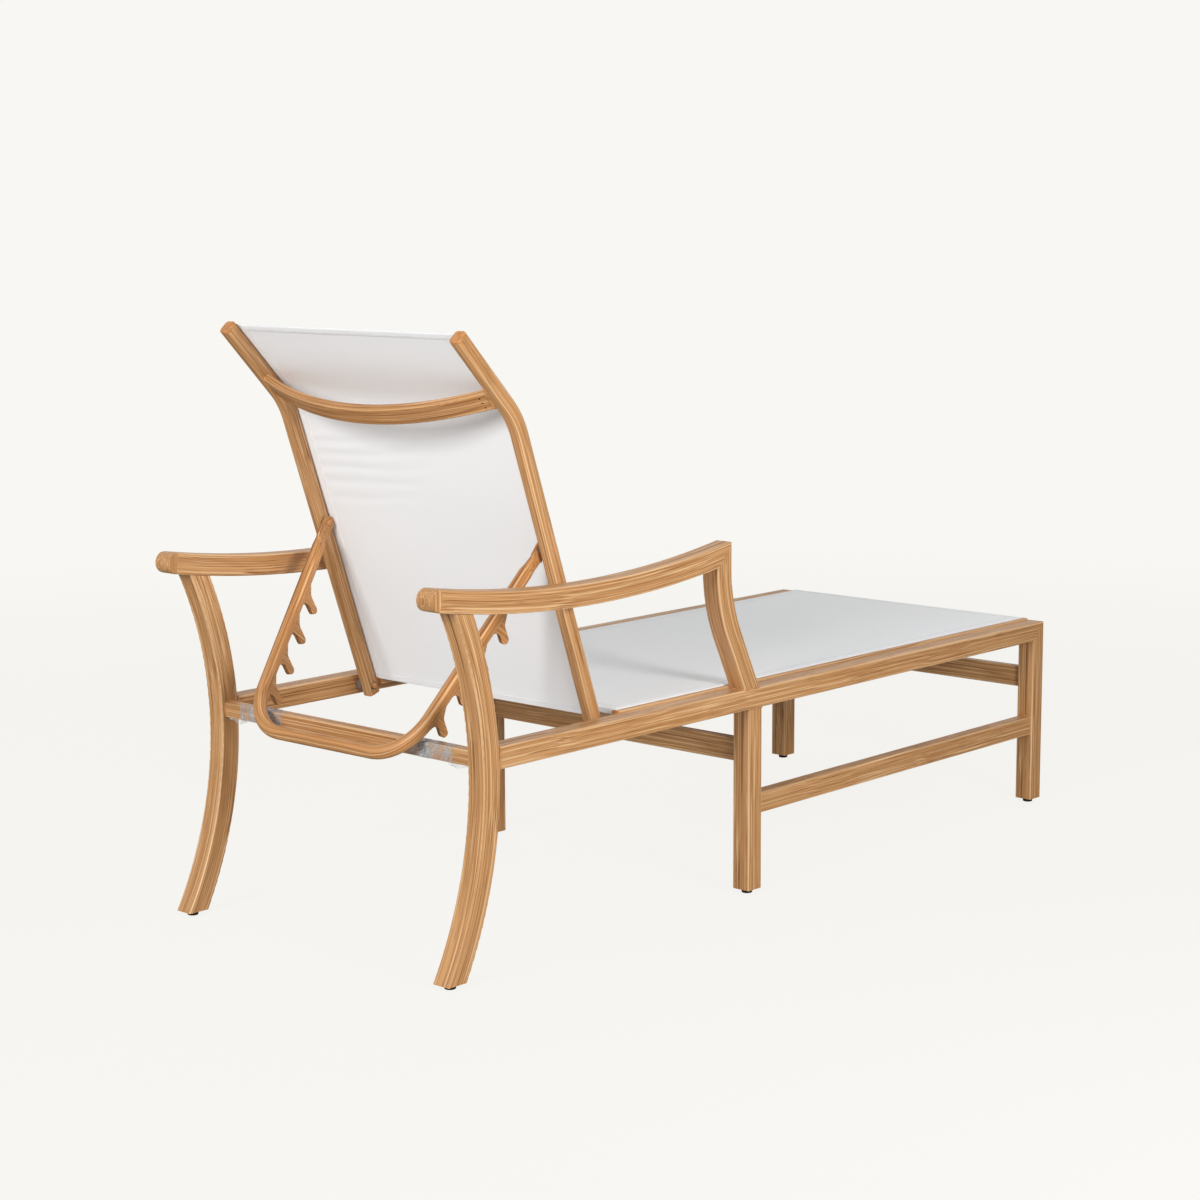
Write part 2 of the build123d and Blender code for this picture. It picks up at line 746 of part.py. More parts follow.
def build_pivot_pins():
    face = tongue_outer - tongue_thickness - hinge_side_gap
    shank = cross_hole(pivot, face, back_rail_outer, pivot_diameter)
    head = cross_hole(pivot, face - pivot_head_height, face, pivot_head_diameter)
    head = fillet(head.edges().group_by(Axis.Y)[0], pivot_head_height / 2)
    return [on_side(shank + head, side) for side in sides.values()]


def build_pivot_washers():
    ring = cross_hole(pivot, tongue_outer + hinge_side_gap, back_rail_inner, pivot_washer_diameter)
    ring -= cross_hole(pivot, tongue_outer, back_rail_inner, pivot_diameter)
    return [on_side(ring, side) for side in sides.values()]


save_pair("side_rail", build_side_rail())
save_pair("front_leg", build_front_leg())
save_pair("mid_leg", build_mid_leg())
save_pair("rear_leg", build_rear_leg())
save_pair("armrest", build_armrest())
save_pair("arm_nose", build_arm_nose())
save_pair("arm_post", build_arm_post())
save_pair("lower_stretcher", build_lower_stretcher())
save("rear_cross_rail", build_cross_rail(rear_rail_x, rear_rail_middle, rear_rail_depth, rear_rail_height))
save("mid_cross_rail", build_cross_rail(mid_leg_x))
save("front_cross_rail", build_cross_rail(front_leg_x))
save_pair("rail_sleeve", build_rail_sleeve())
save("foot_glides", *build_foot_glides())
save_pair("seat_sling_rail", build_seat_sling_rail())
save("sling_rail_plugs", *build_sling_rail_plugs())
save("sling_rail_screws", *build_sling_rail_screws())
save("seat_splines", *build_seat_splines())
save("seat_sling", build_seat_sling())
save("hinge_bushes", *build_hinge_bushes())
save("hinge_inserts", *build_hinge_inserts())
save("hinge_washers", *build_hinge_washers())
save("hinge_bolts", *build_hinge_bolts())
save_pair("back_rail", build_back_rail())
rail_shift = Vector(0, back_rail_middle, 0)
save("back_top_caps", *build_back_caps(head_end + rail_shift, head_up))
save("back_foot_caps", *build_back_caps(hinge - back_up * back_foot + rail_shift, back_up * -1))
save("back_splines", *build_back_splines())
save("back_sling", build_back_sling())
save("head_crossbar", build_head_crossbar())
save("pivot_pins", *build_pivot_pins())
save("pivot_washers", *build_pivot_washers())
save("prop_bail", build_prop_bail())
prop_hooks = build_prop_hooks()
save("prop_hooks_left", *prop_hooks)
save("prop_hooks_right", *[on_side(hook, -1) for hook in prop_hooks])

print("recline hinge at", round(hinge_x, 3), round(hinge_z, 3))
print("prop pivot at", round(pivot.X, 3), round(pivot.Z, 3))
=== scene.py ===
import bpy
import math
from mathutils import Matrix, Vector, noise


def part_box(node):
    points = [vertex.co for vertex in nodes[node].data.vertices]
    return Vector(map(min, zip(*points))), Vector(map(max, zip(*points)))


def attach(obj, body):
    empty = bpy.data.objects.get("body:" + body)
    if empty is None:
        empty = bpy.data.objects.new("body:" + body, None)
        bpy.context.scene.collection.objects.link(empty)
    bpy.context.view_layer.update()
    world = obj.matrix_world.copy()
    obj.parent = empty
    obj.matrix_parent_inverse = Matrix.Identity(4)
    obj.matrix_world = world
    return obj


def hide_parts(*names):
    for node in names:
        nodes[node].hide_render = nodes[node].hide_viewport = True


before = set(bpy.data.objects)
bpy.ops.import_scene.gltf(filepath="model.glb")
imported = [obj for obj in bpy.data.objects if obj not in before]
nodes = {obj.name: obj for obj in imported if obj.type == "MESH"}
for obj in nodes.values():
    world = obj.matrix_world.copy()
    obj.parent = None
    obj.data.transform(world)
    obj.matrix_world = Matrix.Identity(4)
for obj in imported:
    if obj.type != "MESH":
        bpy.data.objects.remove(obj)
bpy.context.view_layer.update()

scene = bpy.context.scene
scene.view_settings.view_transform = "Standard"
print("frame loaded:", len(nodes), "nodes")

# places and sizes that several pieces share, in metres and degrees
axisX, axisY, axisZ = Vector((1, 0, 0)), Vector((0, 1, 0)), Vector((0, 0, 1))
sides = (("left", 1), ("right", -1))
sideMiddle = 0.347
sideInner = 0.327
railMiddle = 0.388
railTop = 0.408
railUnder = 0.368
stretcherHeight = 0.177
crossRailHeight = 0.283
midLegX = -0.0835
frontLegX = 0.9225
rearTopX = -0.879
armStart = Vector((-0.9225, 0, 0.677))
armLow = Vector((-0.5455, 0, 0.646))
armCorner = Vector((-0.1775, 0, 0.6755))
rearFoot = Vector((-0.896, 0, 0.009))
rearWaist = Vector((-0.807, 0, 0.357))
hinge = Vector((-0.4745, 0, 0.388))
backTilt = 19.1
headTilt = 43.5
backLength = 0.608
bendRadius = 0.150
backRailInner = 0.288
backRailMiddle = 0.3005
tubeHalf = {
    "square": (0.020, 0.020),
    "stretcher": (0.020, 0.015),
    "slingRail": (0.015, 0.009),
    "crossRail": (0.0225, 0.011),
    "rearRail": (0.014, 0.0125),
    "backRail": (0.014, 0.0125),
    "crossbar": (0.008, 0.020),
    # larger than the piece, where there is no edge for the pale line
    "nose": (1.0, 0.02),
    "bail": (0.03, 0.03),
    "hook": (1.0, 1.0),
}


def tilted(angle):
    # unit vector in the side view, leaning back from upright
    return Vector((-math.sin(math.radians(angle)), 0, math.cos(math.radians(angle))))


def circleThrough(a, b, c):
    # centre and radius of the circle through three points of the side view
    ax, az, bx, bz, cx, cz = a.x, a.z, b.x, b.z, c.x, c.z
    d = 2 * (ax * (bz - cz) + bx * (cz - az) + cx * (az - bz))
    ua, ub, uc = ax * ax + az * az, bx * bx + bz * bz, cx * cx + cz * cz
    x = (ua * (bz - cz) + ub * (cz - az) + uc * (az - bz)) / d
    z = (ua * (cx - bx) + ub * (ax - cx) + uc * (bx - ax)) / d
    return Vector((x, 0, z)), math.hypot(ax - x, az - z)


backUp, backFront = tilted(backTilt), tilted(backTilt - 90)
headUp, headFront = tilted(headTilt), tilted(headTilt - 90)
bendPoint = hinge + backUp * backLength
halfBend = math.radians(headTilt - backTilt) / 2
bendStart = backLength - bendRadius * math.tan(halfBend)
bendCentre = hinge + backUp * bendStart - backFront * bendRadius
bendRun = bendRadius * 2 * halfBend


def backFrame(run):
    # point, up and front on the back's centre line, run metres above the hinge
    if run < bendStart:
        return hinge + backUp * run, backUp, backFront
    if run < bendStart + bendRun:
        angle = backTilt + math.degrees((run - bendStart) / bendRadius)
        front = tilted(angle - 90)
        return bendCentre + front * bendRadius, tilted(angle), front
    rest = run - bendStart - bendRun
    return bendCentre + headFront * bendRadius + headUp * rest, headUp, headFront


# camera, at the photo's place
cameraSet = {
    "place": (-3.80244, -3.32098, 1.32639),
    "heading": 42.07,    # look direction, from +X towards +Y
    "down": 8.94,
    "roll": 0.27,
    "lens": 75.30,
    "sensor": 36.0,
    "clip": 100.0,
}


def makeCamera(s):
    a, e, r = (math.radians(s[k]) for k in ("heading", "down", "roll"))
    look = Vector((math.cos(a) * math.cos(e), math.sin(a) * math.cos(e), -math.sin(e)))
    level = look.cross(axisZ).normalized()
    plumb = look.cross(level)
    right = level * math.cos(r) + plumb * math.sin(r)
    below = plumb * math.cos(r) - level * math.sin(r)
    data = bpy.data.cameras.new("photoCamera")
    data.lens, data.sensor_width, data.clip_end = s["lens"], s["sensor"], s["clip"]
    camera = bpy.data.objects.new("photoCamera", data)
    turn = Matrix((right, -below, -look)).transposed()
    camera.matrix_world = Matrix.Translation(s["place"]) @ turn.to_4x4()
    scene.collection.objects.link(camera)
    scene.camera = camera


makeCamera(cameraSet)
print("camera set")


def addNode(tree, kind, settings={}, sockets={}):
    made = tree.nodes.new("ShaderNode" + kind)
    for key, value in settings.items():
        setattr(made, key, value)
    for key, value in sockets.items():
        if isinstance(value, bpy.types.NodeSocket):
            tree.links.new(value, made.inputs[key])
        else:
            made.inputs[key].default_value = value
    return made


def calc(tree, operation, *values):
    return addNode(tree, "Math", {"operation": operation}, dict(enumerate(values))).outputs[0]


def times(tree, a, b):
    return calc(tree, "MULTIPLY", a, b)


def spread(tree, value, low, high, toLow=0.0, toHigh=1.0):
    sockets = {"Value": value, "From Min": low, "From Max": high, "To Min": toLow, "To Max": toHigh}
    return addNode(tree, "MapRange", {"interpolation_type": "SMOOTHSTEP"}, sockets).outputs[0]


def mixColour(tree, share, a, b, way="MIX"):
    made = addNode(tree, "Mix", {"data_type": "RGBA", "blend_type": way}, {0: share})
    for socket, value in ((made.inputs[6], a), (made.inputs[7], b)):
        if isinstance(value, bpy.types.NodeSocket):
            tree.links.new(value, socket)
        else:
            socket.default_value = (*value, 1.0)
    return made.outputs[2]


def objectPlace(tree):
    return addNode(tree, "TexCoord").outputs["Object"]


def splitPlace(tree, place):
    return addNode(tree, "SeparateXYZ", {}, {0: place}).outputs


def cloud(tree, place, scale, detail):
    sockets = {"Vector": place, "Scale": scale, "Detail": detail}
    return addNode(tree, "TexNoise", {}, sockets).outputs["Fac"]


def grainNoise(tree, parts, detail, rough=0.55):
    place = addNode(tree, "CombineXYZ", {}, dict(enumerate(parts))).outputs[0]
    sockets = {"Vector": place, "Scale": 1.0, "Detail": detail, "Roughness": rough}
    return addNode(tree, "TexNoise", {"noise_dimensions": "3D"}, sockets).outputs["Fac"]


def newFinish(name, roughness, colour=None, metallic=0.0):
    finish = bpy.data.materials.new(name)
    finish.use_nodes = True
    shader = finish.node_tree.nodes["Principled BSDF"]
    shader.inputs["Roughness"].default_value = roughness
    shader.inputs["Metallic"].default_value = metallic
    if colour:
        shader.inputs["Base Color"].default_value = (*colour, 1.0)
    return finish, finish.node_tree, shader


def addBump(tree, shader, height, strength, distance):
    sockets = {"Strength": strength, "Distance": distance, "Height": height}
    bump = addNode(tree, "Bump", {}, sockets)
    tree.links.new(bump.outputs[0], shader.inputs["Normal"])


# wood-grain film on the tubes: streaks that follow each member, also round its bend
grainSet = {
    "tan": (0.475, 0.232, 0.083),
    "honey": (0.585, 0.308, 0.126),
    "dark": (0.205, 0.076, 0.020),
    "pale": (0.76, 0.495, 0.265),
    # near-black painted shade for the inside of the tube
    "inside": (0.010, 0.008, 0.006),
    "roughness": 0.40,
    "roughStep": (-0.08, 0.14),
    "roughFrom": (0.7, 1.35),
    "specular": 0.40,
    "bump": 0.25,
    "bumpDepth": 0.0006,
    "pores": (-0.6, -0.4),    # height of the fine and thin streaks
    "waveScale": (3.5, 14.0, 14.0),
    "waveSwing": 0.010,
    # length, width, detail and roughness of the streaks
    "broad": (0.58, 0.0050, 2.0, 0.55),
    "fine": (0.56, 0.0018, 3.0, 0.60),
    "thin": (0.16, 0.00080, 2.0, 0.55),
    "light": (0.50, 0.0023, 2.0, 0.55),
    # where each kind of streak sets in and is full, and its least and most share
    "broadMix": (0.36, 0.64, 0.0, 1.0),
    "fineMix": (0.49, 0.68, 0.0, 0.92),
    "thinMix": (0.53, 0.70, 0.0, 0.62),
    "lightMix": (0.52, 0.68, 0.0, 0.85),
    # the pale line painted along the tube's edges: its share, set by the broad streaks, and how far it reaches
    # in
    "paleEdgeMix": (0.35, 0.62, 0.12, 0.75),
    "paleEdgeBand": (0.0050, 0.0008),    # from the tube's edge
}


def makeBendGroup():
    # turns a point of the bend's plane into a run along the member and an offset across it
    group = bpy.data.node_groups.new("grainAlongBend", "ShaderNodeTree")
    inputs = {"Vector": "NodeSocketVector", "Radius": "NodeSocketFloat", "Half Turn": "NodeSocketFloat"}
    for name, kind in inputs.items():
        group.interface.new_socket(name, in_out="INPUT", socket_type=kind)
    for name in ("Along", "Across", "Side"):
        group.interface.new_socket(name, in_out="OUTPUT", socket_type="NodeSocketFloat")
    given = group.nodes.new("NodeGroupInput").outputs
    result = group.nodes.new("NodeGroupOutput").inputs
    x, y, z = splitPlace(group, given["Vector"])
    turn = calc(group, "ARCTAN2", y, x)
    turn = calc(group, "MINIMUM", turn, given["Half Turn"])
    turn = calc(group, "MAXIMUM", turn, times(group, given["Half Turn"], -1.0))
    c, s = calc(group, "COSINE", turn), calc(group, "SINE", turn)
    across = calc(group, "ADD", times(group, x, c), times(group, y, s))
    past = calc(group, "SUBTRACT", times(group, y, c), times(group, x, s))
    along = calc(group, "ADD", times(group, turn, given["Radius"]), past)
    group.links.new(along, result["Along"])
    group.links.new(calc(group, "SUBTRACT", across, given["Radius"]), result["Across"])
    group.links.new(z, result["Side"])
    return group


bendGroup = makeBendGroup()


def woodFinish(name, centre, out, along, half, radius=0.0, halfTurn=0.0, sideMid=0.0,
               fold=False, edge=1.0, tone=(1.0, 1.0, 1.0), hollowShade=None):
    g = grainSet
    finish, tree, shader = newFinish(name, g["roughness"])
    place = objectPlace(tree)
    if fold:    # both halves of a mirrored member use the same bend
        x, y, z = splitPlace(tree, place)
        folded = {0: x, 1: calc(tree, "ABSOLUTE", y), 2: z}
        place = addNode(tree, "CombineXYZ", {}, folded).outputs[0]
    out, along = out.normalized(), along.normalized()
    turn = Matrix((out, along, out.cross(along))).transposed().to_euler()
    sockets = {"Vector": place, "Location": centre, "Rotation": turn}
    place = addNode(tree, "Mapping", {"vector_type": "TEXTURE"}, sockets).outputs[0]
    sockets = {0: place, 1: radius, 2: halfTurn}
    bend = addNode(tree, "Group", {"node_tree": bendGroup}, sockets).outputs
    run, across, side = bend["Along"], bend["Across"], bend["Side"]

    # slow waves, so that no streak is dead straight
    scaled = [times(tree, v, scale) for v, scale in zip((run, across, side), g["waveScale"])]
    wave = calc(tree, "SUBTRACT", grainNoise(tree, scaled, 1.0), 0.5)
    wave = times(tree, wave, g["waveSwing"])
    waved = calc(tree, "ADD", across, wave), calc(tree, "ADD", side, wave)

    def streak(length, width, detail, rough):
        parts = [times(tree, run, 1.0 / length)] + [times(tree, v, 1.0 / width) for v in waved]
        return grainNoise(tree, parts, detail, rough)

    broad, fine, thin, light = (streak(*g[kind]) for kind in ("broad", "fine", "thin", "light"))
    colour = mixColour(tree, spread(tree, broad, *g["broadMix"]), g["tan"], g["honey"])
    colour = mixColour(tree, spread(tree, fine, *g["fineMix"]), colour, g["dark"])
    colour = mixColour(tree, spread(tree, thin, *g["thinMix"]), colour, g["dark"])
    colour = mixColour(tree, spread(tree, light, *g["lightMix"]), colour, g["pale"])

    # pale line painted along the tube's edges
    offAcross = calc(tree, "ABSOLUTE", across)
    offSide = calc(tree, "ABSOLUTE", calc(tree, "SUBTRACT", calc(tree, "ABSOLUTE", side), sideMid))
    wide, narrow = g["paleEdgeBand"]
    nearAcross = spread(tree, offAcross, half[0] - wide, half[0] - narrow)
    nearSide = spread(tree, offSide, half[1] - wide, half[1] - narrow)
    paleEdge = times(tree, times(tree, nearAcross, nearSide), spread(tree, broad, *g["paleEdgeMix"]))
    colour = mixColour(tree, times(tree, paleEdge, edge), colour, g["pale"])
    colour = mixColour(tree, 1.0, colour, tone, "MULTIPLY")
    if hollowShade:    # inside of the tube painted near-black as shade, seen through the holes near its ends
        inAcross = calc(tree, "LESS_THAN", offAcross, hollowShade["across"])
        inSide = calc(tree, "LESS_THAN", offSide, hollowShade["side"])
        byEnd = calc(tree, "GREATER_THAN", calc(tree, "ABSOLUTE", run), hollowShade["from"])
        inside = times(tree, times(tree, inAcross, inSide), byEnd)
        colour = mixColour(tree, inside, colour, g["inside"])
    tree.links.new(colour, shader.inputs["Base Color"])
    shader.inputs["Specular IOR Level"].default_value = g["specular"]

    smoothest, roughest = (g["roughness"] + step for step in g["roughStep"])
    roughness = spread(tree, calc(tree, "ADD", fine, thin), *g["roughFrom"], smoothest, roughest)
    tree.links.new(roughness, shader.inputs["Roughness"])
    height = calc(tree, "ADD", times(tree, fine, g["pores"][0]), times(tree, thin, g["pores"][1]))
    addBump(tree, shader, height, g["bump"], g["bumpDepth"])
    return finish


def dress(finish, *names):
    for name in names:
        nodes[name].data.materials[0] = finish


def pair(name):
    return name + "_left", name + "_right"


# straight members: centre, direction across, direction along
rearRail = (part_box("rear_cross_rail")[0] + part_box("rear_cross_rail")[1]) / 2
squareTubes = (
    ("sideRailGrain", (0, 0, railMiddle), axisZ, axisX, "side_rail"),
    ("frontLegGrain", (frontLegX, 0, 0), axisX, axisZ, "front_leg"),
    ("midLegGrain", (midLegX, 0, 0), axisX, axisZ, "mid_leg"),
)
for finishName, centre, out, along, name in squareTubes:
    grain = woodFinish(finishName, Vector(centre), out, along, tubeHalf["square"], sideMid=sideMiddle)
    dress(grain, *pair(name))
dress(woodFinish("stretcherGrain", Vector((0, 0, stretcherHeight)), axisZ, axisX, tubeHalf["stretcher"],
                 sideMid=sideMiddle), *pair("lower_stretcher"))
slingRailSet = {"height": 0.3965, "middle": 0.318, "edge": 0.6}
dress(woodFinish("slingRailGrain", Vector((0, 0, slingRailSet["height"])), axisZ, axisX, tubeHalf["slingRail"],
                 sideMid=slingRailSet["middle"], edge=slingRailSet["edge"]), *pair("seat_sling_rail"))
dress(woodFinish("rearRailGrain", rearRail, axisZ, axisY, tubeHalf["rearRail"]), "rear_cross_rail")
for name, x in (("mid_cross_rail", midLegX), ("front_cross_rail", frontLegX)):
    centre = Vector((x, 0, crossRailHeight))
    dress(woodFinish(name + "Grain", centre, axisZ, axisY, tubeHalf["crossRail"]), name)

# arms, rear legs and posts bend in the side view
armTurn, legTurn = 0.5, 1.0
postBend, postRadius, postFoot = 0.581, 0.300, midLegX - 0.010
noseLean = Vector((0.12, 0, 1))
armCentre, armRadius = circleThrough(armStart, armLow, armCorner)
armOut = (armLow - armCentre).normalized()
rearTopZ = armCentre.z - math.sqrt(armRadius ** 2 - (rearTopX - armCentre.x) ** 2)
legCentre, legRadius = circleThrough(rearFoot, rearWaist, Vector((rearTopX, 0, rearTopZ)))
legOut = (rearWaist - legCentre).normalized()
postTurn = math.atan((postFoot - armCorner.x) / (postBend - railTop))
postCentre = Vector((armCorner.x + postRadius, 0, postBend + postRadius * math.tan(postTurn / 2)))
postOut = Vector((-math.cos(postTurn / 2), 0, -math.sin(postTurn / 2)))
bentTubes = (
    ("armGrain", armCentre, armOut, armRadius, armTurn, "armrest"),
    ("rearLegGrain", legCentre, legOut, legRadius, legTurn, "rear_leg"),
    ("postGrain", postCentre, postOut, postRadius, postTurn / 2, "arm_post"),
)
for finishName, centre, out, radius, halfTurn, name in bentTubes:
    grain = woodFinish(finishName, centre, out, out.cross(axisY), tubeHalf["square"], radius, halfTurn,
                       sideMid=sideMiddle)
    dress(grain, *pair(name))
dress(woodFinish("noseGrain", armStart, axisX, noseLean, tubeHalf["nose"], sideMid=sideMiddle),
      *pair("arm_nose"))

# back rails, crossbar and prop; the bent round and flat tubes are a little redder
warmTone = (0.96, 0.89, 0.80)
backEdge = 0.5
barSet = {
    "bow": 0.062,
    "up": 0.057,    # its ends, above the bend of the back
    "behind": 0.002,
    "halfTurn": 0.6,
    # where the tube's inside is painted near-black as shade
    "hollowShade": {"across": 0.00665, "side": 0.0165, "from": 0.262},
}
propSet = {
    "place": 0.356,    # its pivot, above the hinge
    "tilt": 38.2,
    "length": 0.441,
    "cornerHalf": 0.207,
    "topHalf": 0.274,
    "topDown": 0.052,
    "radius": 0.100,
}
backOut = tilted((backTilt + headTilt) / 2 - 90)
dress(woodFinish("backRailGrain", bendCentre, backOut, backOut.cross(axisY), tubeHalf["backRail"], bendRadius,
                 halfBend, sideMid=backRailMiddle, edge=backEdge), *pair("back_rail"))
barRadius = (backRailMiddle ** 2 + barSet["bow"] ** 2) / (2 * barSet["bow"])
barMiddle = bendPoint + headUp * barSet["up"] - headFront * barSet["behind"]
barCentre = barMiddle + headFront * (barRadius - barSet["bow"])
dress(woodFinish("crossbarGrain", barCentre, -headFront, axisY, tubeHalf["crossbar"], barRadius,
                 barSet["halfTurn"], tone=warmTone, hollowShade=barSet["hollowShade"]), "head_crossbar")
propTilt = math.radians(propSet["tilt"])
propDown = Vector((-math.sin(propTilt), 0, -math.cos(propTilt)))
propOut = Vector((math.cos(propTilt), 0, -math.sin(propTilt)))
propPivot = hinge + backUp * propSet["place"]
bailCorner = propPivot + propDown * propSet["length"] + axisY * propSet["cornerHalf"]
bailTop = propPivot + propDown * propSet["topDown"] + axisY * propSet["topHalf"]
armUp = (bailTop - bailCorner).normalized()
bailInside = (armUp - axisY).normalized()
bailHalf = math.acos(-armUp.dot(axisY)) / 2
bailCentre = bailCorner + bailInside * (propSet["radius"] / math.sin(bailHalf))
dress(woodFinish("bailGrain", bailCentre, -bailInside, (armUp + axisY).normalized(), tubeHalf["bail"],
                 propSet["radius"], math.pi / 2 - bailHalf, fold=True, tone=warmTone), "prop_bail")
dress(woodFinish("hookGrain", propPivot, propDown, propOut, tubeHalf["hook"], tone=warmTone),
      *pair("prop_hooks"))
print("wood grain laid")


# moulded or painted surfaces with a fine speckle and slight patches
speckleSet = {
    "patchScale": 90.0,
    "patchMix": (0.35, 0.65),
    "gritMix": (0.45, 0.70, 0.0, 0.5),
    "gritRough": (0.3, 0.7),
    "roughStep": (-0.06, 0.10),
    "lift": 0.01,
    "depth": 0.0003,
}


def speckledFinish(name, colour, roughness, speckle, size, metallic=0.0, bump=0.15):
    s = speckleSet
    finish, tree, shader = newFinish(name, roughness, colour, metallic)
    place = objectPlace(tree)
    grit = cloud(tree, place, 1 / size, 3.0)
    patch = cloud(tree, place, s["patchScale"], 2.0)
    lighter = [min(1.0, c * (1 + speckle) + s["lift"]) for c in colour]
    darker = [c * (1 - speckle) for c in colour]
    tone = mixColour(tree, spread(tree, patch, *s["patchMix"]), darker, lighter)
    tone = mixColour(tree, spread(tree, grit, *s["gritMix"]), tone, lighter)
    tree.links.new(tone, shader.inputs["Base Color"])
    smoothest, roughest = (roughness + step for step in s["roughStep"])
    rough = spread(tree, grit, *s["gritRough"], smoothest, roughest)
    tree.links.new(rough, shader.inputs["Roughness"])
    addBump(tree, shader, grit, bump, s["depth"])
    return finish


# small plastics, hardware, sewing thread and the coat on the welds
# colour, roughness, speckle and its size, then metallic and bump
hardwareSet = {
    "capPlastic": ((0.52, 0.225, 0.068), 0.42, 0.16, 0.0012),
    "glidePlastic": ((0.012, 0.012, 0.012), 0.48, 0.35, 0.0009),
    "bushPlastic": ((0.17, 0.145, 0.125), 0.50, 0.15, 0.0010),
    "plainSteel": ((0.60, 0.59, 0.57), 0.30, 0.08, 0.0008, 1.0, 0.08),
    "boltPaint": ((0.50, 0.215, 0.070), 0.36, 0.20, 0.0012),
    "splinePlastic": ((0.80, 0.80, 0.78), 0.50, 0.05, 0.0015),
    "stitchThread": ((0.62, 0.62, 0.61), 0.60, 0.18, 0.0006),
    "weldCoat": ((0.45, 0.215, 0.078), 0.44, 0.22, 0.0016),
}
hardwareNodes = {
    "capPlastic": ("back_top_caps", "back_foot_caps", "sling_rail_plugs"),
    "glidePlastic": ("foot_glides",),
    "bushPlastic": ("hinge_bushes", "pivot_washers"),
    "plainSteel": ("hinge_washers", "hinge_inserts", "sling_rail_screws"),
    "boltPaint": ("hinge_bolts", "pivot_pins"),
    "splinePlastic": ("seat_splines", "back_splines"),
}
hardware = {name: speckledFinish(name, *look) for name, look in hardwareSet.items()}
for finishName, names in hardwareNodes.items():
    dress(hardware[finishName], *names)
print("hardware finished")


# white sling cloth: a close coated weave
clothSet = {
    "white": (0.912, 0.918, 0.924),
    # painted shade between the threads of the weave; the random slubs darken towards it too
    "valleyShadeAndSlub": (0.80, 0.804, 0.808),
    "thread": 0.00115,
    "roughness": 0.62,
    "roughWeave": (0.74, 0.55),    # in the valleys and on the threads
    "swap": (-0.25, 0.25),    # between warp and weft on top
    "weaveMix": (0.10, 0.65),
    "slubScale": 40.0,
    "slubMix": (0.35, 0.75, 0.0, 0.05),
    "sheen": 0.12,
    "sheenRoughness": 0.5,
    "bump": 0.30,
    "bumpDepth": 0.0003,
    "smoothAngle": 50,
}


def clothFinish(name):
    s = clothSet
    finish, tree, shader = newFinish(name, s["roughness"])
    uv = addNode(tree, "UVMap", {"uv_map": "UVMap"}).outputs[0]
    x, y, _ = splitPlace(tree, uv)
    turns = math.pi / s["thread"]
    warp, weft = (calc(tree, "ABSOLUTE", calc(tree, "SINE", times(tree, v, turns))) for v in (x, y))
    over, under = (calc(tree, "SINE", times(tree, v, turns / 2)) for v in (x, y))
    which = spread(tree, times(tree, over, under), *s["swap"])
    weave = calc(tree, "ADD", times(tree, warp, which), times(tree, weft, calc(tree, "SUBTRACT", 1.0, which)))
    slub = cloud(tree, objectPlace(tree), s["slubScale"], 4.0)
    # painted shade in the valleys between threads, white on the threads
    tone = mixColour(tree, spread(tree, weave, *s["weaveMix"]), s["valleyShadeAndSlub"], s["white"])
    tone = mixColour(tree, spread(tree, slub, *s["slubMix"]), tone, s["valleyShadeAndSlub"])
    tree.links.new(tone, shader.inputs["Base Color"])
    shader.inputs["Sheen Weight"].default_value = s["sheen"]
    shader.inputs["Sheen Roughness"].default_value = s["sheenRoughness"]
    tree.links.new(spread(tree, weave, 0.0, 1.0, *s["roughWeave"]), shader.inputs["Roughness"])
    addBump(tree, shader, weave, s["bump"], s["bumpDepth"])
    return finish


slingCloth = clothFinish("slingCloth")


def selectNone():
    bpy.ops.object.select_all(action="DESELECT")


def startPiece(name, finish):
    piece = bpy.context.object
    piece.name = piece.data.name = name
    piece.data.materials.clear()
    piece.data.materials.append(finish)
    return piece


def applyModifier(piece, name, kind, **settings):
    modifier = piece.modifiers.new(name, kind)
    for key, value in settings.items():
        setattr(modifier, key, value)
    bpy.context.view_layer.objects.active = piece
    bpy.ops.object.modifier_apply(modifier=modifier.name)


def clothSheet(name, rows, columns, place, thickness, finish=slingCloth):
    # a grid laid on rows and columns of measured cloth; the UV map is the flat cut in metres
    lastColumn, lastRow = len(columns) - 1, len(rows) - 1
    selectNone()
    bpy.ops.mesh.primitive_grid_add(x_subdivisions=lastColumn, y_subdivisions=lastRow, size=2)
    piece = startPiece(name, finish)
    mesh = piece.data
    spots = [(round((v.co.x + 1) / 2 * lastColumn), round((v.co.y + 1) / 2 * lastRow)) for v in mesh.vertices]
    layer = mesh.uv_layers[0]
    layer.name = "UVMap"
    for loop in mesh.loops:
        i, j = spots[loop.vertex_index]
        layer.data[loop.index].uv = (columns[i], rows[j])
    for v, (i, j) in zip(mesh.vertices, spots):
        v.co = place(rows[j], columns[i])
    mesh.update()
    applyModifier(piece, "cloth", "SOLIDIFY", thickness=thickness, offset=0.0)
    bpy.ops.object.shade_smooth_by_angle(angle=math.radians(clothSet["smoothAngle"]))
    return piece


def smoothstep(value, low, high):
    t = max(0.0, min(1.0, (value - low) / (high - low)))
    return t * t * (3 - 2 * t)


def drift(x, y, z):
    # smooth noise between -1 and 1
    return noise.noise(Vector((x, y, z)))


def steps(low, high, pitch):
    count = max(1, round((high - low) / pitch))
    return [low + (high - low) * i / count for i in range(count + 1)]


def flipped(outer):
    return [-c for c in reversed(outer)]


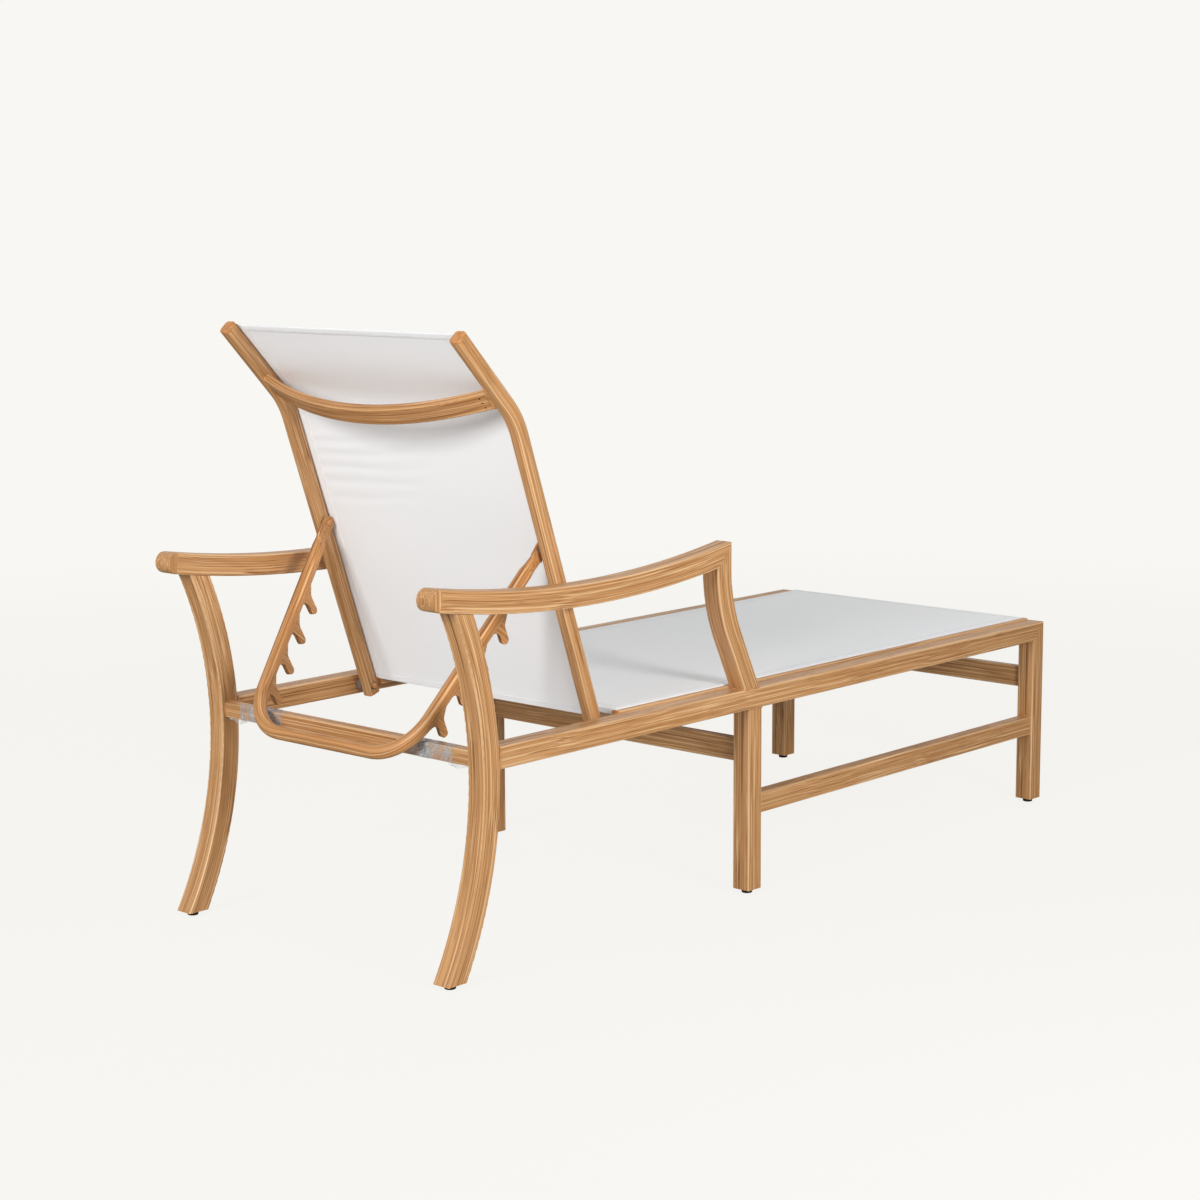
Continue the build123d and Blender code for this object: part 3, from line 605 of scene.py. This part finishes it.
# seat sling: taut between the two sling rails, ends turned down in hems
seatSet = {
    "rear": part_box("seat_sling")[0].x,
    "front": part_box("seat_sling")[1].x,
    "top": 0.4125,    # middle of the cloth
    "groove": 0.315,
    "lip": 0.0013,    # bend over the groove's mouth
    "tuck": 0.0030,
    "sag": 0.0035,
    "sagHalf": 0.309,
    "sagEase": (-0.01, 0.16),    # from the ends
    "ripple": 0.0006,
    "thickness": 0.0012,
    "hem": 0.010,
    "hemHalf": 0.303,
    "hemEase": 0.006,
    "roll": 0.0022,
    "rollEase": 0.03,
    "flare": 0.15,    # of the flat ends over the rails
    "hemRow": 0.7,
    "curlRows": 4,
    "rowPitch": 0.012,
    "rowInset": 0.004,
    "lipPitch": 0.0004,
    "railColumns": (0.002, 0.292, 0.003),
    "openColumns": (0.287, 0.012),
}


def seatPlace(run, y):
    s = seatSet
    length = s["front"] - s["rear"]
    # 1 between the rails, 0 over them
    turned = smoothstep(abs(y), s["hemHalf"] + s["hemEase"], s["hemHalf"])
    past = max(-run, run - length, 0.0)
    inset = min(run, length - run)
    x = s["rear"] + min(max(run, 0.0), length)
    out = -1 if run < length / 2 else 1
    drop = 0.0
    if past > 0:
        angle = min(past / s["roll"], math.pi / 2)
        drop = s["roll"] * (1 - math.cos(angle)) + max(0.0, past - s["roll"] * math.pi / 2)
        x += out * (s["roll"] * math.sin(angle) * turned + s["flare"] * past * (1 - turned))
        x -= out * s["roll"] * turned
    else:
        x -= out * s["roll"] * turned * smoothstep(inset, s["rollEase"], 0.0)
    wide = min(1.0, abs(y) / s["sagHalf"])
    sag = s["sag"] * (1 - wide ** 2) * smoothstep(inset, *s["sagEase"])
    edge = abs(y) - (s["groove"] - s["lip"])
    tuck = 0.0
    if edge > 0:    # over the lip into the groove
        angle = min(edge / s["lip"], math.pi / 2)
        tuck = s["lip"] * (1 - math.cos(angle)) + max(0.0, edge - s["lip"] * math.pi / 2)
        y = math.copysign(s["groove"] - s["lip"] + s["lip"] * math.sin(angle), y)
    ripple = s["ripple"] * drift(run * 3, y * 9, 0.4) * (1 - wide ** 4)
    return Vector((x, y, s["top"] - drop * turned - sag - tuck + ripple))


def makeSeatSling():
    s = seatSet
    length = s["front"] - s["rear"]
    curl = s["roll"] * math.pi / 2
    end = s["hem"] - s["roll"] + curl
    hemRow, curlPitch = end * s["hemRow"], curl / s["curlRows"]
    rows = [-end, -hemRow] + steps(-curl, 0.0, curlPitch)
    rows += steps(s["rowInset"], length - s["rowInset"], s["rowPitch"])
    rows += steps(length, length + curl, curlPitch) + [length + hemRow, length + end]
    lip = s["groove"] - s["lip"]
    half = lip + s["lip"] * math.pi / 2 + s["tuck"]
    inset, inner, pitch = s["railColumns"]
    outer = [-half] + steps(-half + s["tuck"], -lip, s["lipPitch"]) + steps(-lip + inset, -inner, pitch)
    openHalf, pitch = s["openColumns"]
    columns = outer + steps(-openHalf, openHalf, pitch) + flipped(outer)
    piece = clothSheet("seat_cloth", rows, columns, seatPlace, s["thickness"])
    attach(piece, "frame")
    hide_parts("seat_sling")
    return piece, (2 * half, length + 2 * end)


seatCloth, seatFlat = makeSeatSling()
print("seat sling", len(seatCloth.data.polygons), "faces")


# back sling: follows the fronts of the back rails, hemmed at head and foot
backSet = {
    "foot": 0.012,
    "head": 0.7985,
    "forward": 0.0151,    # middle of the cloth, in front of the rail centres
    "groove": 0.3005,
    "dip": 0.0034,
    "dipEase": 0.8,
    "sag": 0.0020,
    "sagEase": 0.12,
    "thickness": 0.0012,
    "hem": 0.011,
    "fold": 0.0011,
    "foldEase": (0.002, 0.006),    # inside the rails
    "wander": 0.0005,
    # soft drag lines that start at the left rail, below the crossbar
    "drag": 0.0011,
    "dragPitch": 0.030,
    "dragSlant": 0.09,
    "dragLeast": -0.3,
    "dragFrom": (0.34, 0.44),
    "dragTo": (0.58, 0.53),
    "dragSide": (-0.10, 0.20),
    "dragEnd": (1.0, 0.90),
    "hemRow": 0.5,
    "curlRows": 5,
    "rowPitch": 0.0055,
    "rowInset": 0.003,
    "tuck": 0.0008,
    "lipColumns": (0.2965, 0.0010),
    "railColumns": (0.295, 0.276, 0.0027),
    "openColumns": (0.27, 0.010),
}


def backPlace(run, y):
    s = backSet
    past = max(s["foot"] - run, run - s["head"], 0.0)
    kept = min(max(run, s["foot"]), s["head"])
    spot, up, front = backFrame(kept)
    out = up * (1 if run > s["head"] else -1)
    wide = min(1.0, abs(y) / backRailInner)
    inset = min(kept - s["foot"], s["head"] - kept)
    away = s["forward"] - s["sag"] * (1 - wide ** 2) * smoothstep(inset, 0.0, s["sagEase"])
    band = smoothstep(kept, *s["dragFrom"]) * smoothstep(kept, *s["dragTo"])
    side = smoothstep(y, *s["dragSide"]) * smoothstep(wide, *s["dragEnd"])
    phase = (kept + y * s["dragSlant"]) * math.tau / s["dragPitch"]
    drag = math.sin(phase + 2.0 * drift(kept * 12, y * 5, 2.1))
    away += s["drag"] * band * side * max(drag, s["dragLeast"])
    away += s["wander"] * drift(kept * 5, y * 8, 5.3) * (1 - wide ** 4)
    edge = abs(y) - (s["groove"] - s["dip"])
    if edge > 0:    # over the lip into the groove
        angle = min(edge / (s["dip"] * s["dipEase"]), math.pi / 2)
        away -= s["dip"] * (1 - math.cos(angle))
        y = math.copysign(s["groove"] - s["dip"] + s["dip"] * math.sin(angle), y)
    spot = spot + front * away + axisY * y
    if past > 0:    # folded back on the rear side
        folded = smoothstep(abs(y), *(backRailInner - ease for ease in s["foldEase"]))
        angle = min(past / s["fold"], math.pi)
        spot += out * s["fold"] * math.sin(angle) - front * s["fold"] * (1 - math.cos(angle)) * folded
        spot -= out * max(0.0, past - s["fold"] * math.pi) * folded
    return spot


def makeBackSling():
    s = backSet
    curl = s["fold"] * math.pi
    end = curl + s["hem"]
    foldRows = steps(0.0, curl, curl / s["curlRows"]) + [curl + s["hem"] * s["hemRow"], end]
    rows = [s["foot"] - r for r in reversed(foldRows)]
    rows += steps(s["foot"] + s["rowInset"], s["head"] - s["rowInset"], s["rowPitch"])
    rows += [s["head"] + r for r in foldRows]
    half = s["groove"] + s["tuck"]
    lip, pitch = s["lipColumns"]
    outer = steps(-half, -lip, pitch)
    railOuter, railInner, pitch = s["railColumns"]
    outer += steps(-railOuter, -railInner, pitch)
    openHalf, pitch = s["openColumns"]
    columns = outer + steps(-openHalf, openHalf, pitch) + flipped(outer)
    piece = clothSheet("back_cloth", rows, columns, backPlace, s["thickness"])
    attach(piece, "backrest")
    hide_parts("back_sling")
    return piece, (2 * half, s["head"] - s["foot"] + 2 * end)


backCloth, backFlat = makeBackSling()
print("back sling", len(backCloth.data.polygons), "faces")


# spline pockets: the doubled strip that shows inside each back rail
pocketSet = {
    "inner": 0.2715,
    "outer": 0.2868,
    "thickness": 0.0006,
    "foot": 0.026,
    "head": 0.786,
    "gap": 0.00095,
    "rowPitch": 0.006,
    "edgeColumns": (0.002, 0.0007),
    "flatColumns": (0.004, 0.003),
    "edge": 0.0015,
    "edgeRise": 0.0004,
    "puff": 0.00012,
}


def makePockets():
    s = pocketSet
    made = []
    width, pitch = s["edgeColumns"]
    columns = steps(s["inner"], s["inner"] + width, pitch)
    inset, pitch = s["flatColumns"]
    columns += steps(s["inner"] + inset, s["outer"], pitch)
    rows = steps(s["foot"], s["head"], s["rowPitch"])
    for sideName, sign in sides:
        def place(run, across):
            base, front = backPlace(run, sign * across), backFrame(run)[2]
            edge = smoothstep(across, s["inner"] + s["edge"], s["inner"])
            puff = s["puff"] * drift(run * 60, sign, 0)
            return base - front * (s["gap"] - s["edgeRise"] * edge + puff)
        piece = clothSheet("back_pocket_" + sideName, rows, columns, place, s["thickness"])
        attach(piece, "backrest")
        made.append(piece)
    return made


pockets = makePockets()
print("pockets", len(pockets))


# stitches: one stitch is modelled, repeated along its row and laid on the cloth
stitchSet = {
    "length": 0.0030,
    "pitch": 0.0042,
    "thick": 0.00055,
    "flat": 0.7,
    "lift": 0.0001,    # off the cloth
    "pathPitch": 0.02,
    "backInset": 0.0085,    # of the hem rows, from head and foot
    "backHalf": {"rear": 0.278, "front": 0.290},
    "pocketSeam": 0.0028,    # from the pocket's inner edge
    "pocketLift": 0.0004,
    "pocketRun": (0.030, 0.782),
    "seatInset": 0.016,
    "seatHalf": 0.310,
    "seatSide": 0.294,
    "seatSideInset": 0.02,
    "seatSidePitch": 0.03,
}


def stitchRow(name, path, body):
    s = stitchSet
    run = sum((b - a).length for a, b in zip(path, path[1:]))
    selectNone()
    bpy.ops.mesh.primitive_uv_sphere_add(segments=6, ring_count=4, radius=1.0)
    piece = startPiece(name, hardware["stitchThread"])
    bpy.ops.object.mode_set(mode="EDIT")
    bpy.ops.mesh.select_all(action="SELECT")
    bpy.ops.transform.rotate(value=math.pi / 2, orient_axis="Y", center_override=(0, 0, 0))
    bpy.ops.transform.resize(value=(s["length"] / 2, s["thick"], s["thick"] * s["flat"]))
    bpy.ops.transform.translate(value=(s["pitch"] / 2, 0, 0))
    bpy.ops.object.mode_set(mode="OBJECT")
    applyModifier(piece, "row", "ARRAY", count=int(run / s["pitch"]), use_relative_offset=False,
                  use_constant_offset=True, constant_offset_displace=(s["pitch"], 0, 0))
    line = bpy.data.curves.new(name + "Line", "CURVE")
    line.dimensions = "3D"
    spline = line.splines.new("POLY")
    spline.points.add(len(path) - 1)
    for spot, at in zip(spline.points, path):
        spot.co = (*at, 1.0)
    guide = bpy.data.objects.new(name + "Line", line)
    scene.collection.objects.link(guide)
    applyModifier(piece, "lay", "CURVE", object=guide, deform_axis="POS_X")
    bpy.data.objects.remove(guide)
    bpy.data.curves.remove(line)
    bpy.ops.object.shade_smooth()
    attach(piece, body)
    return piece


def onBack(run, y, lift):
    return backPlace(run, y) + backFrame(run)[2] * lift


def makeBackStitches():
    s = stitchSet
    face = backSet["thickness"] / 2 + s["lift"]
    hemLift = {"rear": -(backSet["thickness"] / 2 + 2 * backSet["fold"] + s["lift"]), "front": face}
    seamLift = {"rear": -pocketSet["gap"] - s["pocketLift"], "front": face}
    hems = (("head", backSet["head"] - s["backInset"]), ("foot", backSet["foot"] + s["backInset"]))
    seam = pocketSet["inner"] + s["pocketSeam"]
    made = []
    for spot, run in hems:
        for kind, lift in hemLift.items():
            half = s["backHalf"][kind]
            path = [onBack(run, y, lift) for y in steps(-half, half, s["pathPitch"])]
            made.append(stitchRow(f"back_{spot}_stitches_{kind}", path, "backrest"))
    for sideName, sign in sides:
        for kind, lift in seamLift.items():
            path = [onBack(run, sign * seam, lift) for run in steps(*s["pocketRun"], s["pathPitch"])]
            made.append(stitchRow(f"back_pocket_stitches_{kind}_{sideName}", path, "backrest"))
    return made


def makeSeatStitches():
    s = stitchSet
    length = seatSet["front"] - seatSet["rear"]
    lift = axisZ * (seatSet["thickness"] / 2 + s["lift"])
    made = []
    for spot, run in (("rear", s["seatInset"]), ("front", length - s["seatInset"])):
        path = [seatPlace(run, y) + lift for y in steps(-s["seatHalf"], s["seatHalf"], s["pathPitch"])]
        made.append(stitchRow(f"seat_{spot}_stitches", path, "frame"))
    runs = steps(s["seatSideInset"], length - s["seatSideInset"], s["seatSidePitch"])
    for sideName, sign in sides:
        path = [seatPlace(run, sign * s["seatSide"]) + lift for run in runs]
        made.append(stitchRow(f"seat_side_stitches_{sideName}", path, "frame"))
    return made


backStitches = makeBackStitches()
seatStitches = makeSeatStitches()
print("stitch rows", len(backStitches) + len(seatStitches))


# clear packing film left on the rear cross rail: a loose wrap, two slanting bands and a torn end
filmSet = {
    "low": 0.165,
    "high": 0.283,
    "gap": 0.00022,
    "crease": 0.00022,
    "thickness": 0.00010,
    "lap": 0.010,
    "lapRise": (0.00016, 0.002),    # height, and the run that it takes
    "ragged": (0.0020, 0.224, 0.045, 0.059),    # size, middle, and from there to the ends
    "corner": 0.0022,
    "bands": ((0.176, 0.020, 0.30), (0.236, 0.026, -0.42)),    # start, width, slant
    "bandGap": 0.00052,
    "bandCrease": 0.00010,
    "bandRun": (0.006, 0.004),    # start, and lap past the full girth
    "tail": (0.268, 0.3215, 0.0085),    # from, to, hang
    "tailPlace": (-0.0085, -0.01435),    # from the rail's middle
    "tailSway": 0.0022,
    "pitch": {"wrap": 0.0022, "around": 0.0012, "band": 0.002, "tail": 0.0015, "down": 0.12},
    "colour": (0.55, 0.545, 0.535),
    # pale painted highlight on the film's crease ridges
    "creaseHighlight": (0.76, 0.76, 0.755),
    "roughness": 0.22,
    "slant": (160.0, 70.0),
    "creaseScale": (40.0, 45.0),
    "creaseHighlightWidth": 0.045,
    "creaseHighlightVeil": 0.13,
    "cloudScale": 55.0,
    "cloudVeil": (0.38, 0.72, 0.12, 0.42),
    "bump": 0.55,
    "bumpDepth": 0.0012,
}


def filmFinish(name):
    s = filmSet
    finish, tree, shader = newFinish(name, s["roughness"], s["colour"])
    place = objectPlace(tree)
    x, y, z = splitPlace(tree, place)
    slant = calc(tree, "ADD", times(tree, y, s["slant"][0]), times(tree, z, s["slant"][1]))
    acrossX, acrossZ = (times(tree, v, scale) for v, scale in zip((x, z), s["creaseScale"]))
    crease = grainNoise(tree, [slant, acrossX, acrossZ], 4.0, 0.6)
    cloudy = cloud(tree, place, s["cloudScale"], 3.0)
    # pale painted highlight along the crease ridges, where the film is also made less clear
    fromCreaseHighlight = calc(tree, "ABSOLUTE", calc(tree, "SUBTRACT", crease, 0.5))
    creaseHighlight = spread(tree, fromCreaseHighlight, 0.0, s["creaseHighlightWidth"], 1.0, 0.0)
    veil = calc(tree, "ADD", spread(tree, cloudy, *s["cloudVeil"]), times(tree, creaseHighlight, s["creaseHighlightVeil"]))
    tree.links.new(veil, shader.inputs["Alpha"])
    tree.links.new(mixColour(tree, creaseHighlight, s["colour"], s["creaseHighlight"]), shader.inputs["Base Color"])
    addBump(tree, shader, crease, s["bump"], s["bumpDepth"])
    return finish


clearFilm = filmFinish("clearFilm")


def railOutline(run, away):
    # point of the rear rail's outline, run metres round it from the middle of its underside
    r = filmSet["corner"]
    b, a = (half - r for half in tubeHalf["rearRail"])
    arc = math.pi / 2 * r
    run = run % (4 * (a + b) + 4 * arc)
    # length, outward direction and heading of each flat
    walk = [(a, 0, -1, 1, 0), (2 * b, 1, 0, 0, 1), (2 * a, 0, 1, -1, 0), (2 * b, -1, 0, 0, -1),
            (a, 0, -1, 1, 0)]
    at = Vector((0.0, -b - r))
    turn = -math.pi / 2
    for length, nx, nz, dx, dz in walk:
        if run <= length:
            at = at + Vector((dx, dz)) * run
            return at + Vector((nx, nz)) * away
        at = at + Vector((dx, dz)) * length
        run -= length
        middle = at - Vector((nx, nz)) * r
        if run <= arc:
            angle = turn + run / r
            return middle + Vector((math.cos(angle), math.sin(angle))) * (r + away)
        run -= arc
        turn += math.pi / 2
        at = middle + Vector((math.cos(turn), math.sin(turn))) * r
    return at


def joinAll(pieces):
    selectNone()
    for piece in pieces:
        piece.select_set(True)
    bpy.context.view_layer.objects.active = pieces[0]
    bpy.ops.object.join()
    return pieces[0]


def makeFilm():
    s = filmSet
    girth = 4 * (sum(tubeHalf["rearRail"]) - 2 * s["corner"]) + 2 * math.pi * s["corner"]
    made = []
    for sideName, sign in sides:
        def onRail(y, run, away):
            spot = railOutline(run, away)
            return Vector((rearRail.x + spot.x, sign * y, rearRail.z + spot.y))

        def wrap(y, run):
            size, middle, inner, outer = s["ragged"]
            rise, over = s["lapRise"]
            away = s["gap"] + s["crease"] * drift(y * 170 + run * 60, run * 90, sign * 3.0)
            away += rise * smoothstep(run, girth - over, girth)
            ragged = size * drift(run * 140, sign * 7.0, 0.0)
            ragged *= smoothstep(abs(y - middle), inner, outer)
            return onRail(y + ragged, run, away)

        def band(start, slant):
            def place(across, run):
                crease = drift(across * 300, run * 120, sign * 9.0)
                away = s["bandGap"] + s["bandCrease"] * crease
                return onRail(start + across + slant * run, run, away)
            return place

        def tail(y, down):
            # hangs from the underside, with a wavy torn lower edge
            low, high, most = s["tail"]
            share = (y - low) / (high - low)
            hang = most * (0.45 + 0.55 * math.sin(math.pi * min(1.0, share * 1.25)))
            hang *= 1 + 0.35 * drift(y * 130, sign * 2.0, 4.0)
            sway = s["tailSway"] * drift(y * 90, down * 2.0, sign * 5.0) * down
            dx, dz = s["tailPlace"]
            return Vector((rearRail.x + dx + sway, sign * y, rearRail.z + dz - hang * down))

        pitch = s["pitch"]
        rows = steps(s["low"], s["high"], pitch["wrap"])
        around = steps(0.0, girth + s["lap"], pitch["around"])
        pieces = [clothSheet("rail_film_" + sideName, rows, around, wrap, s["thickness"], clearFilm)]
        around = steps(s["bandRun"][0], girth + s["bandRun"][1], pitch["around"])
        for start, width, slant in s["bands"]:
            rows = steps(0.0, width, pitch["band"])
            pieces.append(clothSheet("film_band", rows, around, band(start, slant), s["thickness"], clearFilm))
        rows, down = steps(*s["tail"][:2], pitch["tail"]), steps(0.0, 1.0, pitch["down"])
        pieces.append(clothSheet("film_tail", rows, down, tail, s["thickness"], clearFilm))
        film = joinAll(pieces)
        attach(film, "frame")
        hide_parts("rail_sleeve_" + sideName)
        made.append(film)
    return made


railFilm = makeFilm()
print("film", [len(piece.data.polygons) for piece in railFilm])


# weld beads under the coating, round the tube ends
weldSet = {
    "radius": 0.0016,
    "lump": 0.22,
    "lumpScale": 420,
    "corner": 0.0035,
    "segments": 132,
    "ribs": 8,
    "ahead": 0.002,    # share of the way round that gives the bead's direction
    "barRadius": 0.0031,
    "barHalf": (0.0185, 0.0062),
    "barBehind": 0.0053,
    "barOut": 0.0012,
    # x, y and z of the left side's seams, the two directions of the tube end and its half sizes
    "frame": (
        (postFoot, sideMiddle, railTop, axisX, axisY, 0.0222, 0.0200),
        (midLegX, sideMiddle, railUnder, axisX, axisY, 0.0200, 0.0200),
        (-0.0635, sideMiddle, stretcherHeight, axisY, axisZ, 0.0150, 0.0200),
        (0.9025, sideMiddle, stretcherHeight, axisY, axisZ, 0.0150, 0.0200),
        (midLegX, sideInner, crossRailHeight, axisX, axisZ, 0.0110, 0.0225),
        (frontLegX, sideInner, crossRailHeight, axisX, axisZ, 0.0110, 0.0225),
        (rearRail.x, sideInner, rearRail.z, axisX, axisZ, 0.0125, 0.0140),
        (-0.7872, sideMiddle, railMiddle, axisY, axisZ, 0.0200, 0.0200),
    ),
}


def boxLoop(share, a, b, r):
    # point at a share of the way round a rounded rectangle
    lengths = [2 * (a - r), math.pi / 2 * r, 2 * (b - r), math.pi / 2 * r] * 2
    run = share * sum(lengths)
    x, y, heading = -(a - r), -b, 0.0
    for number, length in enumerate(lengths):
        part = min(run, length)
        if number % 2 == 0:
            x, y = x + math.cos(heading) * part, y + math.sin(heading) * part
        else:
            turn = part / r
            cx, cy = x - math.sin(heading) * r, y + math.cos(heading) * r
            x, y = cx + math.sin(heading + turn) * r, cy - math.cos(heading + turn) * r
            heading += turn
        run -= part
        if run <= 0:
            break
    return x, y


def weldBead(centre, u, v, a, b, radius=weldSet["radius"]):
    s = weldSet
    ringRadius, tubeRadius = 1.0, 0.1
    selectNone()
    bpy.ops.mesh.primitive_torus_add(major_segments=s["segments"], minor_segments=s["ribs"],
                                     major_radius=ringRadius, minor_radius=tubeRadius)
    piece = startPiece("weld_bead", hardware["weldCoat"])
    w = u.cross(v)
    for vertex in piece.data.vertices:
        x, y, z = vertex.co
        share = (math.atan2(y, x) / math.tau) % 1.0
        out, up = (math.hypot(x, y) - ringRadius) / tubeRadius, z / tubeRadius
        px, py = boxLoop(share, a, b, s["corner"])
        ahead = boxLoop((share + s["ahead"]) % 1.0, a, b, s["corner"])
        side = Vector((ahead[1] - py, px - ahead[0])).normalized()
        lump = drift(px * s["lumpScale"], py * s["lumpScale"], centre.x * 11 + centre.y * 7)
        fat = radius * (1 + s["lump"] * lump)
        vertex.co = centre + u * (px + side.x * out * fat) + v * (py + side.y * out * fat) + w * up * fat
    piece.data.update()
    return piece


def joinWelds(name, beads, body):
    piece = joinAll(beads)
    piece.name = piece.data.name = name
    bpy.ops.object.mode_set(mode="EDIT")
    bpy.ops.mesh.select_all(action="SELECT")
    bpy.ops.mesh.normals_make_consistent(inside=False)
    bpy.ops.object.mode_set(mode="OBJECT")
    bpy.ops.object.shade_smooth()
    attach(piece, body)
    return piece


def makeWelds():
    s = weldSet
    beads = [weldBead(Vector((x, sign * y, z)), u, v, a, b)
             for sign in (1, -1) for x, y, z, u, v, a, b in s["frame"]]
    frameWelds = joinWelds("frame_welds", beads, "frame")
    barEnd = barMiddle - headFront * s["barBehind"]
    reach = backRailInner + s["barOut"]
    beads = [weldBead(barEnd + axisY * sign * reach, headUp, headFront, *s["barHalf"], s["barRadius"])
             for sign in (1, -1)]
    return frameWelds, joinWelds("crossbar_welds", beads, "backrest")


welds = makeWelds()
print("welds", [len(piece.data.polygons) for piece in welds])


# floor, world and lamps
stageSet = {
    "floorSize": 120.0,
    "pale": (0.939, 0.930, 0.896),
    "bounce": (0.53, 0.532, 0.535),    # floor as the chaise sees it
    "mirrored": (0.10, 0.092, 0.080),    # floor as polished faces see it
    "lit": (0.70, 0.693, 0.668),    # its share under the lamps
    "shade": 0.07,    # share of the floor that takes lamps and shadow
    "shadeReach": (2.2, 5.0),    # fades out over this distance
    "sky": (0.99, 0.995, 1.0),
    "ambient": 0.30,
    "gloss": 0.74,    # the white walls as polished faces mirror them
    "areas": {
        "left": {"place": (-5.20, -0.60, 2.50), "at": (-0.50, 0.0, 0.55), "size": 1.7, "power": 172.0,
                 "mirrored": True},
        "right": {"place": (-0.82, -3.20, 1.42), "at": (-0.25, 0.0, 0.45), "size": 0.8, "power": 67.0,
                  "mirrored": False},
    },
    "suns": {
        "top": {"from": (0.05, -0.10, 1.0), "power": 0.24, "soft": 60},
        "front": {"from": (0.75, 0.62, 0.12), "power": 1.55, "soft": 60},
    },
}


def lightPath(tree):
    # the path's outputs, and 1 where the background itself is looked at
    path = addNode(tree, "LightPath").outputs
    return path, calc(tree, "MAXIMUM", path["Is Camera Ray"], path["Is Transmission Ray"])


def makeFloor(s):
    selectNone()
    bpy.ops.mesh.primitive_plane_add(size=s["floorSize"])
    finish = bpy.data.materials.new("studioFloor")
    floor = startPiece("studio_floor", finish)
    finish.use_nodes = True
    tree = finish.node_tree
    tree.nodes.clear()
    path, seen = lightPath(tree)
    place = objectPlace(tree)
    away = addNode(tree, "VectorMath", {"operation": "LENGTH"}, {0: place}).outputs["Value"]
    share = spread(tree, away, *s["shadeReach"], s["shade"], 0.0)
    lit = addNode(tree, "BsdfDiffuse", {}, {"Color": (*s["lit"], 1.0)}).outputs[0]
    glow = addNode(tree, "Emission", {}, {"Color": (*s["pale"], 1.0), "Strength": 1.0}).outputs[0]
    below = mixColour(tree, path["Is Glossy Ray"], s["bounce"], s["mirrored"])
    bounce = addNode(tree, "BsdfDiffuse", {}, {"Color": below}).outputs[0]
    shown = addNode(tree, "MixShader", {}, {0: share, 1: glow, 2: lit}).outputs[0]
    mix = addNode(tree, "MixShader", {}, {0: seen, 1: bounce, 2: shown}).outputs[0]
    addNode(tree, "OutputMaterial", {}, {0: mix})


def makeWorld(s):
    world = bpy.data.worlds.new("studioWorld")
    scene.world = world
    world.use_nodes = True
    tree = world.node_tree
    tree.nodes.clear()
    path, seen = lightPath(tree)
    level = spread(tree, path["Is Glossy Ray"], 0.0, 1.0, s["ambient"], s["gloss"])
    soft = addNode(tree, "Background", {}, {"Color": (*s["sky"], 1.0), "Strength": level})
    plain = addNode(tree, "Background", {}, {"Color": (*s["pale"], 1.0), "Strength": 1.0})
    mix = addNode(tree, "MixShader", {}, {0: seen, 1: soft.outputs[0], 2: plain.outputs[0]})
    addNode(tree, "OutputWorld", {}, {0: mix.outputs[0]})


def addLamp(name, kind, power, source, mirrored):
    lamp = bpy.data.lights.new(name + "Lamp", kind)
    lamp.energy = power
    holder = bpy.data.objects.new(name + "Lamp", lamp)
    holder.rotation_euler = source.to_track_quat("Z", "Y").to_euler()
    holder.visible_glossy = mirrored
    scene.collection.objects.link(holder)
    return lamp, holder


def makeLamps(s):
    for name, given in s["areas"].items():
        spot = Vector(given["place"])
        source = spot - Vector(given["at"])
        lamp, holder = addLamp(name, "AREA", given["power"], source, given["mirrored"])
        lamp.size = given["size"]
        holder.location = spot
        holder.visible_camera = False
    for name, given in s["suns"].items():
        lamp, holder = addLamp(name, "SUN", given["power"], Vector(given["from"]), False)
        lamp.angle = math.radians(given["soft"])


makeFloor(stageSet)
makeWorld(stageSet)
makeLamps(stageSet)
print("stage lit")
